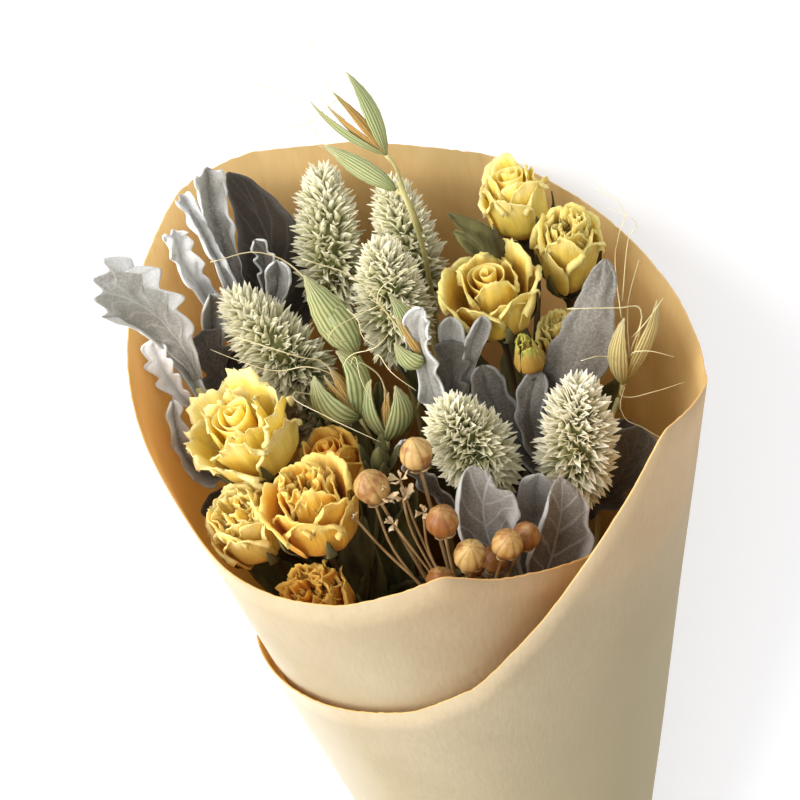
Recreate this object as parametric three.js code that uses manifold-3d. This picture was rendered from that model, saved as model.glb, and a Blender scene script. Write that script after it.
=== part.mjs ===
// Dried flower bouquet in a kraft paper cone, in millimetres.
// Everything is placed upright, stems down and blooms up, with the front of the bouquet at -Y.
// The last lines lay the bouquet on its back, on the flat strip of its paper.
import * as THREE from "three";
import { mergeVertices } from "three/addons/utils/BufferGeometryUtils.js";
import Module from "manifold-3d";

const wasm = await Module();
wasm.setup();

// Paper cone
const paperThickness = 0.8;
const footRadius = 10.5;
const coneFlare = 0.191;
const rimHeight = 318;
const neckHeight = 24;
const neckPinch = 0.3;
const neckLength = 24;
const mouthShift = 0.7;
const coneLean = 0.029;
const sheetStart = 320;
const rowHeights = [0, 12, 24, 38, 60];
const upperRows = 3;
const columnStep = 10;

// Flat strip that the bouquet lies on, as a plane y = restFoot + restSlope * z at the back
const restFoot = 10.6;
const restSlope = 0.172;

// Place of the upright bouquet's own origin once it is laid down, which puts the new origin on the
// surface under the middle of the footprint
const laidPlace = [3.4759, -199.4927, 10.4466];

// Bundle of stems, its binding and the twine round the paper
const slotSpacing = 3.1;
const bundleTop = 46;
const sheathRadius = 1.25;
const bindingBottom = 18;
const bindingTop = 30;
const bindingInner = 7.9;
const bindingOuter = 9.05;
const twineRadius = 0.9;
const twineTurns = 3;
const twineInner = 12.3;
const twineForward = 0.8;
const knotRadius = 1.5;
const knotReach = 3.6;
const knotBulge = 1.6;
const twineEnd = [[1.5, -1, 0], [6, -2.2, -3.5], [9, -1.8, -9]];

// Gap between pieces that rest on each other, and the least thickness of a blade
const seat = 0.3;
const bladeThickness = 0.7;

const colours = {
  paper: 0xc9a67c,
  twine: 0xb99a6b,
  binding: 0x8a7a58,
  rose: 0xe3c24f,
  roseStem: 0x8a8b4e,
  phalaris: 0xb7b98a,
  grassStem: 0xb8ab74,
  oat: 0xb9b177,
  flaxStem: 0x9a7b4a,
  flaxPod: 0xb9853f,
  dusty: 0xc4c6b8,
};

const dryRoughness = 0.85;

const materials = {};
for (const [name, colour] of Object.entries(colours)) {
  const finish = { name, color: colour, roughness: dryRoughness, metalness: 0 };
  materials[name] = () => new THREE.MeshStandardMaterial(finish);
}

const bouquet = new THREE.Group();
const upright = new THREE.Group();
bouquet.add(upright);

function vector(point) {
  return new THREE.Vector3(point[0], point[1], point[2]);
}

function chance(n) {
  const wave = Math.sin(n * 12.9898 + 4.1414) * 43758.5453;
  return wave - Math.floor(wave);
}

function between(low, high, n) {
  return low + (high - low) * chance(n);
}

function radians(degrees) {
  return degrees * Math.PI / 180;
}

function addPiece(name, geometry, material) {
  geometry.computeVertexNormals();
  const mesh = new THREE.Mesh(geometry, materials[material]());
  mesh.name = name;
  upright.add(mesh);
  return mesh;
}

function geometryFrom(points, triangles) {
  const geometry = new THREE.BufferGeometry();
  const places = points.flatMap((p) => [p.x, p.y, p.z]);
  geometry.setAttribute("position", new THREE.Float32BufferAttribute(places, 3));
  geometry.setIndex(triangles);
  return geometry;
}

// Joining closed meshes into one solid
function solidOf(geometry) {
  const bare = geometry.clone();
  bare.deleteAttribute("normal");
  bare.deleteAttribute("uv");
  const merged = mergeVertices(bare, 1e-4);
  return new wasm.Manifold(new wasm.Mesh({
    numProp: 3,
    vertProperties: new Float32Array(merged.attributes.position.array),
    triVerts: new Uint32Array(merged.index.array),
  }));
}

function fused(geometries) {
  let solid = solidOf(geometries[0]);
  for (const geometry of geometries.slice(1)) {
    solid = solid.add(solidOf(geometry));
  }
  const mesh = solid.getMesh();
  const geometry = new THREE.BufferGeometry();
  geometry.setAttribute("position", new THREE.BufferAttribute(new Float32Array(mesh.vertProperties), 3));
  geometry.setIndex(new THREE.BufferAttribute(new Uint32Array(mesh.triVerts), 1));
  return geometry;
}

// Closed skin through rings of equal count, from a first pole to a last one
function skin(firstPole, rings, lastPole) {
  const count = rings[0].length;
  const points = [firstPole, ...rings.flat(), lastPole];
  const at = (ring, j) => 1 + ring * count + (j % count);
  const triangles = [];
  for (let j = 0; j < count; j++) {
    triangles.push(0, at(0, j + 1), at(0, j));
    for (let k = 0; k < rings.length - 1; k++) {
      triangles.push(at(k, j), at(k, j + 1), at(k + 1, j));
      triangles.push(at(k, j + 1), at(k + 1, j + 1), at(k + 1, j));
    }
    triangles.push(at(rings.length - 1, j), at(rings.length - 1, j + 1), points.length - 1);
  }
  return geometryFrom(points, triangles);
}

// Closed sheet between two faces, each a list of rows of points, split alike on both faces
function sheetBetween(front, back) {
  const rows = front.length;
  const columns = front[0].length;
  const points = [...front.flat(), ...back.flat()];
  const shift = rows * columns;
  const at = (i, j) => i * columns + j;
  const triangles = [];
  for (let i = 0; i < rows - 1; i++) {
    for (let j = 0; j < columns - 1; j++) {
      const [a, b, c, d] = [at(i, j), at(i, j + 1), at(i + 1, j + 1), at(i + 1, j)];
      triangles.push(a, b, c, a, c, d);
      triangles.push(c + shift, b + shift, a + shift, d + shift, c + shift, a + shift);
    }
  }
  const wall = (a, b) => triangles.push(b, a, a + shift, b, a + shift, b + shift);
  for (let j = 0; j < columns - 1; j++) {
    wall(at(0, j), at(0, j + 1));
    wall(at(rows - 1, j + 1), at(rows - 1, j));
  }
  for (let i = 0; i < rows - 1; i++) {
    wall(at(i, columns - 1), at(i + 1, columns - 1));
    wall(at(i + 1, 0), at(i, 0));
  }
  return geometryFrom(points, triangles);
}

// Blade of even thickness round a grid of middle points
function blade(grid, thickness = bladeThickness) {
  const rows = grid.length;
  const columns = grid[0].length;
  const offset = (side) => grid.map((row, i) => row.map((point, j) => {
    const across = grid[i][Math.min(j + 1, columns - 1)].clone().sub(grid[i][Math.max(j - 1, 0)]);
    const along = grid[Math.min(i + 1, rows - 1)][j].clone().sub(grid[Math.max(i - 1, 0)][j]);
    const normal = across.cross(along).normalize();
    return point.clone().addScaledVector(normal, side * thickness / 2);
  }));
  return sheetBetween(offset(1), offset(-1));
}

// Tapered closed tube along a smooth line through the points
function limb(points, startRadius, endRadius, sides = 5, steps = points.length * 2) {
  const curve = new THREE.CatmullRomCurve3(points.map(vector), false, "centripetal");
  const frames = curve.computeFrenetFrames(steps, false);
  const rings = [];
  for (let k = 0; k <= steps; k++) {
    const centre = curve.getPointAt(k / steps);
    const radius = startRadius + (endRadius - startRadius) * k / steps;
    rings.push(Array.from({ length: sides }, (_, j) => {
      const angle = 2 * Math.PI * j / sides;
      return centre.clone()
        .addScaledVector(frames.normals[k], radius * Math.cos(angle))
        .addScaledVector(frames.binormals[k], radius * Math.sin(angle));
    }));
  }
  return skin(curve.getPointAt(0), rings, curve.getPointAt(1));
}

// A piece made along +Z is moved so that it stands on its base and points to its tip
function stood(geometry, base, tip, roll = 0) {
  const direction = vector(tip).sub(vector(base)).normalize();
  const turn = new THREE.Quaternion().setFromUnitVectors(new THREE.Vector3(0, 0, 1), direction);
  geometry.rotateZ(radians(roll));
  geometry.applyQuaternion(turn);
  geometry.translate(base[0], base[1], base[2]);
  return geometry;
}

function lengthBetween(base, tip) {
  return vector(tip).distanceTo(vector(base));
}

// Value of a line through [position, value] corners
function follow(corners, position) {
  for (let k = 1; k < corners.length; k++) {
    const [lowPlace, lowValue] = corners[k - 1];
    const [highPlace, highValue] = corners[k];
    if (position <= highPlace) {
      return lowValue + (highValue - lowValue) * (position - lowPlace) / (highPlace - lowPlace);
    }
  }
  return corners[corners.length - 1][1];
}

// Paper sheet: one spiral, from its inner end to its outer end, by degrees along the sheet
const rimLine = [
  [0, 293], [20, 294.5], [44, 303], [54, 309], [60, 306], [76, 299.5], [92, 297], [108, 296], [116, 298],
  [124, 309], [132, 317.5], [148, 325], [164, 334.5], [180, 343.5], [188, 348], [200, 348], [228, 344.5],
  [244, 338], [268, 328], [300, 315.5], [316, 311], [332, 311.5], [348, 322], [367, 330], [372, 324],
  [380, 313], [396, 289.5], [412, 269.5], [428, 259.5], [444, 255.5], [468, 250], [495, 244],
];
const rimOffset = [
  [0, -7], [40, -4], [75, -1.5], [110, -0.6], [135, -0.6], [150, 0], [300, 0], [330, 0.4],
  [360, 2], [375, 3], [410, 3], [440, 2.4], [495, 1.4],
];
const neckOffset = [[0, -0.1], [135, -0.1], [150, 0], [300, 0], [340, 1.2], [495, 1.2]];

function paperRadius(z) {
  const pinch = Math.exp(-(((z - neckHeight) / neckLength) ** 2));
  return (footRadius + coneFlare * z) * (1 - neckPinch * pinch);
}

// The cone leans: its axis stands to the right at the bundle and comes to the middle at the mouth
function coneAxis(z) {
  return mouthShift + coneLean * (rimHeight - Math.max(z, bundleTop));
}

function paperPoint(place, z, depth) {
  const neck = follow(neckOffset, place);
  const rim = follow(rimOffset, place);
  const radius = paperRadius(z) + neck + (rim - neck) * Math.max(0, z / rimHeight) ** 1.5 + depth;
  const angle = radians(sheetStart - place);
  const back = restFoot + restSlope * z + depth;
  const x = coneAxis(z) + radius * Math.cos(angle);
  return new THREE.Vector3(x, Math.min(radius * Math.sin(angle), back), z);
}

function sheetPlaces() {
  const places = [0];
  for (let k = 1; k < rimLine.length; k++) {
    const span = rimLine[k][0] - rimLine[k - 1][0];
    const parts = Math.ceil(span / columnStep);
    for (let part = 1; part <= parts; part++) {
      places.push(rimLine[k - 1][0] + span * part / parts);
    }
  }
  return places;
}

function wrapperGeometry() {
  const places = sheetPlaces();
  const face = (depth) => {
    const rows = rowHeights.map((z) => places.map((place) => paperPoint(place, z, depth)));
    const start = rowHeights[rowHeights.length - 1];
    for (let k = 1; k <= upperRows; k++) {
      rows.push(places.map((place) => {
        const z = start + (follow(rimLine, place) - start) * k / upperRows;
        return paperPoint(place, z, depth);
      }));
    }
    return rows;
  };
  return sheetBetween(face(-paperThickness), face(0));
}

addPiece("kraft_wrapper", wrapperGeometry(), "paper");

// Binding inside the paper and twine outside it
function bindingGeometry() {
  const profile = [
    [bindingInner, bindingBottom],
    [bindingOuter - 0.3, bindingBottom],
    [bindingOuter, bindingBottom + 1.5],
    [bindingOuter, bindingTop - 1.5],
    [bindingOuter - 0.3, bindingTop],
    [bindingInner, bindingTop],
    [bindingInner, bindingBottom],
  ].map(([radius, z]) => new THREE.Vector2(radius, z));
  const ring = new THREE.LatheGeometry(profile, 18);
  ring.rotateX(Math.PI / 2);
  ring.translate(coneAxis(0), 0, 0);
  return ring;
}

addPiece("stem_binding", bindingGeometry(), "binding");

// Twine: three turns side by side, with a flat knot and two short ends at the front
function twineGeometry() {
  const bottom = neckHeight - 3 - twineTurns * twineRadius;
  const profile = [new THREE.Vector2(twineInner, bottom)];
  for (let turn = 0; turn < twineTurns; turn++) {
    const middle = bottom + (2 * turn + 1) * twineRadius;
    for (const angle of [-50, 50]) {
      const reach = twineInner + twineRadius * (1 + Math.cos(radians(angle)));
      profile.push(new THREE.Vector2(reach, middle + twineRadius * Math.sin(radians(angle))));
    }
  }
  profile.push(new THREE.Vector2(twineInner, bottom + 2 * twineTurns * twineRadius));
  profile.push(profile[0].clone());
  const ring = new THREE.LatheGeometry(profile, 16);
  ring.rotateX(Math.PI / 2);
  const front = -(twineInner + 2 * twineRadius);
  const height = neckHeight - 3;
  const knot = limb([
    [-knotReach, front, height - 1.2],
    [0, front - knotBulge, height],
    [knotReach, front, height + 1.2],
  ], knotRadius, knotRadius, 6, 2);
  const ends = [-1, 1].map((side) => limb(
    twineEnd.map(([x, y, z]) => [side * x, front + y, height + z]),
    twineRadius,
    twineRadius * 0.9,
    4,
    2,
  ));
  const tied = fused([ring, knot, ...ends]);
  tied.translate(coneAxis(0), -twineForward, 0);
  return tied;
}

addPiece("twine_tie", twineGeometry(), "twine");

// Places in the tied bundle, in rings of a honeycomb
function slotPlace(slot) {
  if (slot === 0) {
    return [coneAxis(0), 0];
  }
  const ring = slot <= 6 ? 1 : 2;
  const step = slot - (ring === 1 ? 1 : 7);
  const corner = Math.floor(step / ring);
  const from = radians(60 * corner);
  const to = radians(60 * (corner + 1));
  const share = (step % ring) / ring;
  const reach = ring * slotSpacing;
  return [
    coneAxis(0) + reach * (Math.cos(from) * (1 - share) + Math.cos(to) * share),
    reach * (Math.sin(from) * (1 - share) + Math.sin(to) * share),
  ];
}

// Tube through the given points, with a radius for each
function tube(points, radii, sides = 6) {
  const centres = points.map(vector);
  const last = centres.length - 1;
  let aside = new THREE.Vector3(0, 1, 0);
  const rings = centres.map((centre, k) => {
    const before = centre.clone().sub(centres[Math.max(k - 1, 0)]).normalize();
    const after = centres[Math.min(k + 1, last)].clone().sub(centre).normalize();
    const along = before.add(after).normalize();
    aside = aside.addScaledVector(along, -aside.dot(along)).normalize().clone();
    const across = along.clone().cross(aside);
    return Array.from({ length: sides }, (_, j) => {
      const angle = 2 * Math.PI * j / sides;
      return centre.clone()
        .addScaledVector(aside, radii[k] * Math.cos(angle))
        .addScaledVector(across, radii[k] * Math.sin(angle));
    });
  });
  return skin(centres[0], rings, centres[last]);
}

// Stem from its cut end through the bundle to the points above it
function stem(slot, above, radius, endRadius = radius, sides = 6) {
  const [x, y] = slotPlace(slot);
  const cut = between(-17, -10, slot + 3);
  const low = Math.max(radius, sheathRadius);
  const radii = above.map((_, k) => radius + (endRadius - radius) * (k + 1) / above.length);
  return tube([[x, y, cut], [x, y, bundleTop], ...above], [low, low, ...radii], sides);
}

function alongAxis(base, tip, distance) {
  return vector(base).addScaledVector(vector(tip).sub(vector(base)).normalize(), distance).toArray();
}

// Canary grass: rows of pointed scales round an egg-shaped head, on a straw
const canaryRows = 7;
const scalesAround = 9;
const canaryStraw = 0.9;
const canaryHeads = {
  canary_1: { slot: 11, base: [-18, 49, 308], tip: [-14, 57, 346], width: 18 },
  canary_2: { slot: 9, base: [6, 46, 304], tip: [3, 51, 342], width: 16.5 },
  canary_3: { slot: 2, base: [-2, 28, 304], tip: [-3, 23, 341], width: 20 },
  canary_4: { slot: 4, base: [-27, 27, 298], tip: [-43, 29, 331], width: 20 },
  canary_5: { slot: 6, base: [14, -12, 289], tip: [5, -21, 321], width: 21 },
  canary_6: { slot: 18, base: [34, -17, 284], tip: [38, -20, 320], width: 20 },
  canary_7: { slot: 3, base: [-24, 36, 262], tip: [-33, 44, 298], width: 19 },
};

function canaryProfile(share) {
  return Math.sqrt(4 * share * (1 - share)) * (1.12 - 0.25 * share);
}

function canaryHead(length, width, seed) {
  const rings = [];
  const pitch = 1 / (canaryRows + 0.6);
  for (let row = 0; row < canaryRows; row++) {
    const middle = (row + 0.55) * pitch;
    rings.push(Array.from({ length: 2 * scalesAround }, (_, j) => {
      const isTip = (j + row) % 2 === 0;
      const share = Math.min(middle + (isTip ? 0.45 : -0.3) * pitch, 0.985);
      const reach = (isTip ? 1 : 0.82) * between(0.95, 1.05, seed * 100 + row * 20 + j);
      const radius = width / 2 * Math.max(canaryProfile(middle), 0.25) * reach;
      const angle = Math.PI * j / scalesAround + 0.05 * row;
      return new THREE.Vector3(radius * Math.cos(angle), radius * Math.sin(angle), length * share);
    }));
  }
  return skin(new THREE.Vector3(0, 0, 0), rings, new THREE.Vector3(0, 0, length));
}

Object.entries(canaryHeads).forEach(([name, { slot, base, tip, width }], index) => {
  const head = stood(canaryHead(lengthBetween(base, tip), width, index + 1), base, tip);
  addPiece(name, head, "phalaris");
  const above = [alongAxis(base, tip, -12), alongAxis(base, tip, -seat)];
  addPiece(`${name}_straw`, stem(slot, above, canaryStraw), "grassStem");
});

// Spray roses: a rolled heart, a closed whorl and an open whorl of petals
const roseSprays = {
  rose_spray_left: {
    slot: 14,
    fork: [-27, -12, 244],
    blooms: {
      rose_1: { base: [-42, 0, 296], tip: [-48, -3, 321], width: 26, open: 0.55, petals: 5 },
      rose_2: { base: [-45.3, -16.8, 283], tip: [-51.8, -21.4, 305], width: 21, open: 0.4, petals: 5 },
      rose_3: { base: [-30, -28, 291], tip: [-32, -30, 316], width: 24, open: 0.5, petals: 5 },
      rose_4: { base: [-24, 0, 279], tip: [-27, -2, 304], width: 19, open: 0.3, petals: 4 },
      rose_5: { base: [-32, -31.5, 268], tip: [-37, -37.3, 288.5], width: 20, open: 0.6, petals: 5 },
    },
  },
  rose_spray_right: {
    slot: 8,
    fork: [25, 14, 264],
    blooms: {
      rose_6: { base: [36, 45, 320], tip: [33, 45, 344], width: 20, open: 0.3, petals: 4 },
      rose_7: { base: [24, 20, 310], tip: [22, 16, 334], width: 24, open: 0.8, petals: 5 },
      rose_8: { base: [44, 30, 311], tip: [45, 24, 339], width: 17, open: 0.5, petals: 4 },
      rose_9: { base: [29, 6, 306], tip: [28, 2, 322], width: 10, open: 0, petals: 3 },
      rose_10: { base: [40, 16, 296], tip: [39, 13, 315], width: 14, open: 0.2, petals: 4 },
    },
  },
};
const roseStemRadius = 1.4;
const pedicelRadius = 0.85;
const calyxRadius = 2.6;
const calyxHeight = 3;
const calyxRim = 1.2;

// Petal on a cup: u runs across from -1 to 1, v up from 0 to 1
function petal({ facing, halfWidth, inner, outer, height, flare, spiral, seed }) {
  const columns = 3;
  const rows = 3;
  const grid = [];
  for (let i = 0; i < rows; i++) {
    const v = i / (rows - 1);
    grid.push(Array.from({ length: columns }, (_, j) => {
      const u = 2 * j / (columns - 1) - 1;
      const fullness = 0.5 + 0.5 * Math.sin(Math.PI * Math.min(v, 0.8) / 1.3);
      const spread = halfWidth * fullness * (1 - 0.25 * v ** 4);
      const angle = radians(facing + u * spread);
      const swell = inner + (outer - inner) * Math.sin(Math.PI / 2 * Math.min(1, v / 0.65));
      const crumple = between(-0.35, 0.35, seed + i * 7 + j) * v;
      const radius = swell + flare * v ** 3 + spiral * u * (0.4 + 0.6 * v) + crumple;
      const z = height * (0.05 + 0.95 * v - 0.1 * u * u * v) + between(-0.5, 0.5, seed + 50 + j) * v;
      return new THREE.Vector3(radius * Math.cos(angle), radius * Math.sin(angle), z);
    }));
  }
  return blade(grid);
}

function bloom({ length, width, open, petals, seed }) {
  const reach = width / 2;
  const hasInnerWhorl = petals > 4;
  const girth = (hasInnerWhorl ? 0.36 : 0.56) * reach;
  const heartSides = hasInnerWhorl ? 6 : 8;
  const heartRings = hasInnerWhorl
    ? [[0, 2], [0.3, girth], [0.72, 0.75 * girth]]
    : [[0, 2], [0.3, girth], [0.78, 0.85 * girth], [0.7, 0.6 * girth]];
  const heart = skin(
    new THREE.Vector3(0, 0, 0),
    heartRings.map(([share, radius], k) => Array.from({ length: heartSides }, (_, j) => {
      const angle = 2 * Math.PI * j / heartSides + 0.2 * k;
      const folded = radius * (k > 0 && j % 2 ? 0.84 : 1);
      return new THREE.Vector3(folded * Math.cos(angle), folded * Math.sin(angle), share * length);
    })),
    new THREE.Vector3(0, 0, 0.84 * length),
  );
  const whorls = [
    {
      count: petals,
      reach: 0.8 * reach,
      flare: 0.2 * (0.4 + open) * reach,
      height: 0.86 * length,
      halfWidth: 208 / petals,
    },
  ];
  if (hasInnerWhorl) {
    whorls.push({
      count: 3,
      reach: 0.52 * reach,
      flare: 0.1 * open * reach,
      height: 0.94 * length,
      halfWidth: 50,
    });
  }
  const pieces = [heart];
  whorls.forEach((whorl, ring) => {
    for (let k = 0; k < whorl.count; k++) {
      const mark = seed * 37 + ring * 11 + k;
      pieces.push(petal({
        facing: 360 * k / whorl.count + between(-6, 6, mark) + 40 * ring,
        halfWidth: whorl.halfWidth,
        inner: 0.1 * reach,
        outer: whorl.reach,
        height: whorl.height * between(0.9, 1.04, mark + 5),
        flare: whorl.flare,
        spiral: 0.07 * reach,
        seed: mark * 3,
      }));
    }
  });
  return fused(pieces);
}

let bloomSeed = 0;
for (const [sprayName, { slot, fork, blooms }] of Object.entries(roseSprays)) {
  const green = [stem(slot, [fork], roseStemRadius)];
  for (const [name, { base, tip, width, open, petals }] of Object.entries(blooms)) {
    bloomSeed += 1;
    const length = lengthBetween(base, tip);
    addPiece(name, stood(bloom({ length, width, open, petals, seed: bloomSeed }), base, tip), "rose");
    const start = alongAxis(fork, [...slotPlace(slot), bundleTop], 3);
    const below = [-14, -calyxHeight - seat, -calyxRim - seat, -seat];
    green.push(tube(
      [start, ...below.map((distance) => alongAxis(base, tip, distance))],
      [pedicelRadius, pedicelRadius, pedicelRadius, calyxRadius, calyxRadius],
    ));
  }
  addPiece(sprayName, fused(green), "roseStem");
}

// Leaf along a spine, facing one way: half widths and forward shifts of its lobes, row by row
function leaf(spine, face, halfWidths, shifts, cup, thickness = bladeThickness) {
  const curve = new THREE.CatmullRomCurve3(spine.map(vector), false, "centripetal");
  const rows = halfWidths.length;
  const grid = halfWidths.map((halfWidth, i) => {
    const share = i / (rows - 1);
    const centre = curve.getPointAt(share);
    const along = curve.getTangentAt(share);
    const side = along.clone().cross(vector(face)).normalize();
    const out = side.clone().cross(along).normalize();
    return [-1, 0, 1].map((u) => centre.clone()
      .addScaledVector(side, u * halfWidth)
      .addScaledVector(out, cup * Math.abs(u) * halfWidth)
      .addScaledVector(along, shifts[i] * Math.abs(u)));
  });
  return blade(grid, thickness);
}

// Silver ragwort: felted leaves with rounded lobes, on stout stems
const ragwortThickness = 1;
const lobedWidths = [0.12, 0.14, 0.55, 0.4, 0.85, 0.5, 1, 0.55, 0.8, 0.3];
const lobeShifts = [0, 0, 1.6, 0, 2, 0, 2, 0, 1.2, 0];
const smoothWidths = [0.3, 0.35, 0.5, 0.66, 0.85, 1, 0.97, 0.75, 0.35];
const strapWidths = [0.4, 0.6, 0.8, 0.7, 1, 0.8, 1, 0.8, 0.5];
const ribbonWidths = [0.5, 0.7, 0.9, 0.75, 1, 0.7, 0.9, 0.4];
const fingerWidths = [0.4, 0.45, 0.55, 0.8, 1, 0.95, 0.5];
const bladeWidths = [0.3, 0.7, 1, 1, 0.85, 0.6, 0.2];
const mittenWidths = [0.3, 0.35, 0.5, 0.7, 0.85, 0.9, 0.95, 1, 0.85];
const mitreWidths = [0.3, 0.4, 0.7, 1, 0.9, 0.85, 0.7, 0.55, 0.35];
const fanWidths = [0.14, 0.2, 0.45, 0.42, 0.72, 0.62, 0.95, 0.75, 0.95];
const fanShifts = [0, 0, 1, 0, 2, 0, 2, 0, -2];
const ragwortStems = {
  ragwort_back: {
    slot: 12,
    stem: [[-38, 31, 262], [-42, 40, 292], [-42, 44, 312]],
    leaves: [
      {
        spine: [[-42, 43.5, 309], [-39.5, 47, 340], [-41.8, 41, 364]], face: [0.5, -1, 0.3],
        width: 5.2, cup: 0.35, kind: "strap",
      },
      {
        spine: [[-42, 44, 310], [-45.6, 50, 338], [-49.5, 42.5, 363]], face: [0.7, -1, 0.2],
        width: 3.4, cup: 0.8, kind: "ribbon",
      },
      {
        spine: [[-42, 43.5, 307], [-51.5, 46, 332], [-55, 38.5, 350]], face: [0.8, -1, 0.2],
        width: 3.6, cup: 0.6, kind: "ribbon",
      },
      {
        spine: [[-42, 42, 302], [-35.5, 54, 326], [-38.5, 54, 349]], face: [0.2, -1, 0.5],
        width: 7, cup: 0.15, kind: "blade",
      },
      {
        spine: [[-42, 42, 301], [-32, 46, 318], [-30, 41, 331]], face: [-0.2, -1, 0.4],
        width: 4, cup: 0.4, kind: "finger",
      },
    ],
  },
  ragwort_left: {
    slot: 13,
    stem: [[-50, 15, 284], [-56, 16, 312]],
    leaves: [
      {
        spine: [[-56, 16, 309], [-61.5, 17, 338], [-72.35, 8, 355]], face: [-0.3, -1, 0.8],
        width: 10, cup: 0.15, kind: "fan",
      },
      {
        spine: [[-54.5, 15.8, 304], [-61.5, 19, 316], [-62.5, 20.5, 327]], face: [-0.2, -1, 0.6],
        width: 4.2, cup: 0.4,
      },
      {
        spine: [[-50.2, 15, 285], [-61, 10, 294], [-62, 12, 312]], face: [0.7, -1, 0.4],
        width: 3.2, cup: 0.4, kind: "ribbon",
      },
      {
        spine: [[-52.6, 15.6, 296], [-51, 37, 312], [-48.3, 33, 329]], face: [0.3, -1, 0.5],
        width: 3.6, cup: 0.6, kind: "finger",
      },
    ],
  },
  ragwort_middle: {
    slot: 0,
    stem: [[6.5, 5, 268], [7, 3, 296]],
    leaves: [
      {
        spine: [[6.9, 3.4, 291], [2.6, 4.2, 319], [4.5, 1.7, 335]], face: [-0.7, -1, 0.4],
        width: 4.4, cup: 0.4, kind: "ribbon",
      },
      {
        spine: [[7, 3.4, 292], [13, 8, 308], [15, 5.5, 319]], face: [0.4, -1, 0.4],
        width: 3.4, cup: 0.3, kind: "finger",
      },
      {
        spine: [[7, 3.2, 293], [10, 8.5, 313], [11, 5.5, 328]], face: [-0.2, -1, 0.4],
        width: 3.6, cup: 0.3, kind: "finger",
      },
      {
        spine: [[6.5, 5, 262], [-3, -2, 284], [-6.6, -4, 300]], face: [0, -1, 0.5],
        width: 4, cup: 0.2,
      },
    ],
  },
  ragwort_right: {
    slot: 1,
    stem: [[29, 4, 262], [31.5, 5, 288]],
    leaves: [
      {
        spine: [[31.3, 5, 286], [41.5, 3, 320], [50.6, -5.5, 344]], face: [-0.3, -1, 0.5],
        width: 5.4, cup: -0.3, kind: "smooth",
      },
      {
        spine: [[29, 4, 260], [43.5, -10, 276], [53, -11.5, 294]], face: [-0.2, -1, 0.5],
        width: 7, cup: 0.2,
      },
      {
        spine: [[30, 4.5, 270], [21.5, 9, 288], [20, 9, 302]], face: [0.1, -1, 0.6],
        width: 5, cup: 0.3, kind: "strap",
      },
      {
        spine: [[30.3, 4.5, 274], [27, 5, 288], [28, 4.5, 298]], face: [-0.1, -1, 0.6],
        width: 4.2, cup: 0.3, kind: "strap",
      },
    ],
  },
  ragwort_front: {
    slot: 17,
    stem: [[15, -31, 254], [17, -34, 272]],
    leaves: [
      {
        spine: [[16, -32.5, 262], [9.6, -30, 287], [13.2, -34, 308]], face: [-0.2, -1, 0.6],
        width: 9, cup: 0.2, kind: "mitten",
      },
      {
        spine: [[16, -32.5, 262], [26, -34, 284], [29, -38, 307]], face: [0.1, -1, 0.6],
        width: 9.4, cup: 0.35, kind: "mitre",
      },
      {
        spine: [[15.6, -32, 259], [31, -32, 274], [37, -38, 281]], face: [0.4, -1, 0.3],
        width: 5, cup: 0.3,
      },
    ],
  },
};
const leafKinds = {
  lobed: [lobedWidths, lobeShifts],
  smooth: [smoothWidths],
  strap: [strapWidths],
  ribbon: [ribbonWidths],
  finger: [fingerWidths],
  blade: [bladeWidths],
  mitten: [mittenWidths],
  mitre: [mitreWidths],
  fan: [fanWidths, fanShifts],
};

for (const [name, { slot, stem: above, leaves }] of Object.entries(ragwortStems)) {
  const pieces = [stem(slot, above, 1.3, 0.9)];
  for (const { spine, face, width, cup, kind } of leaves) {
    const [shares, shifts = shares.map(() => 0)] = leafKinds[kind ?? "lobed"];
    pieces.push(leaf(spine, face, shares.map((share) => share * width), shifts, cup, ragwortThickness));
  }
  addPiece(name, fused(pieces), "dusty");
}

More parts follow.
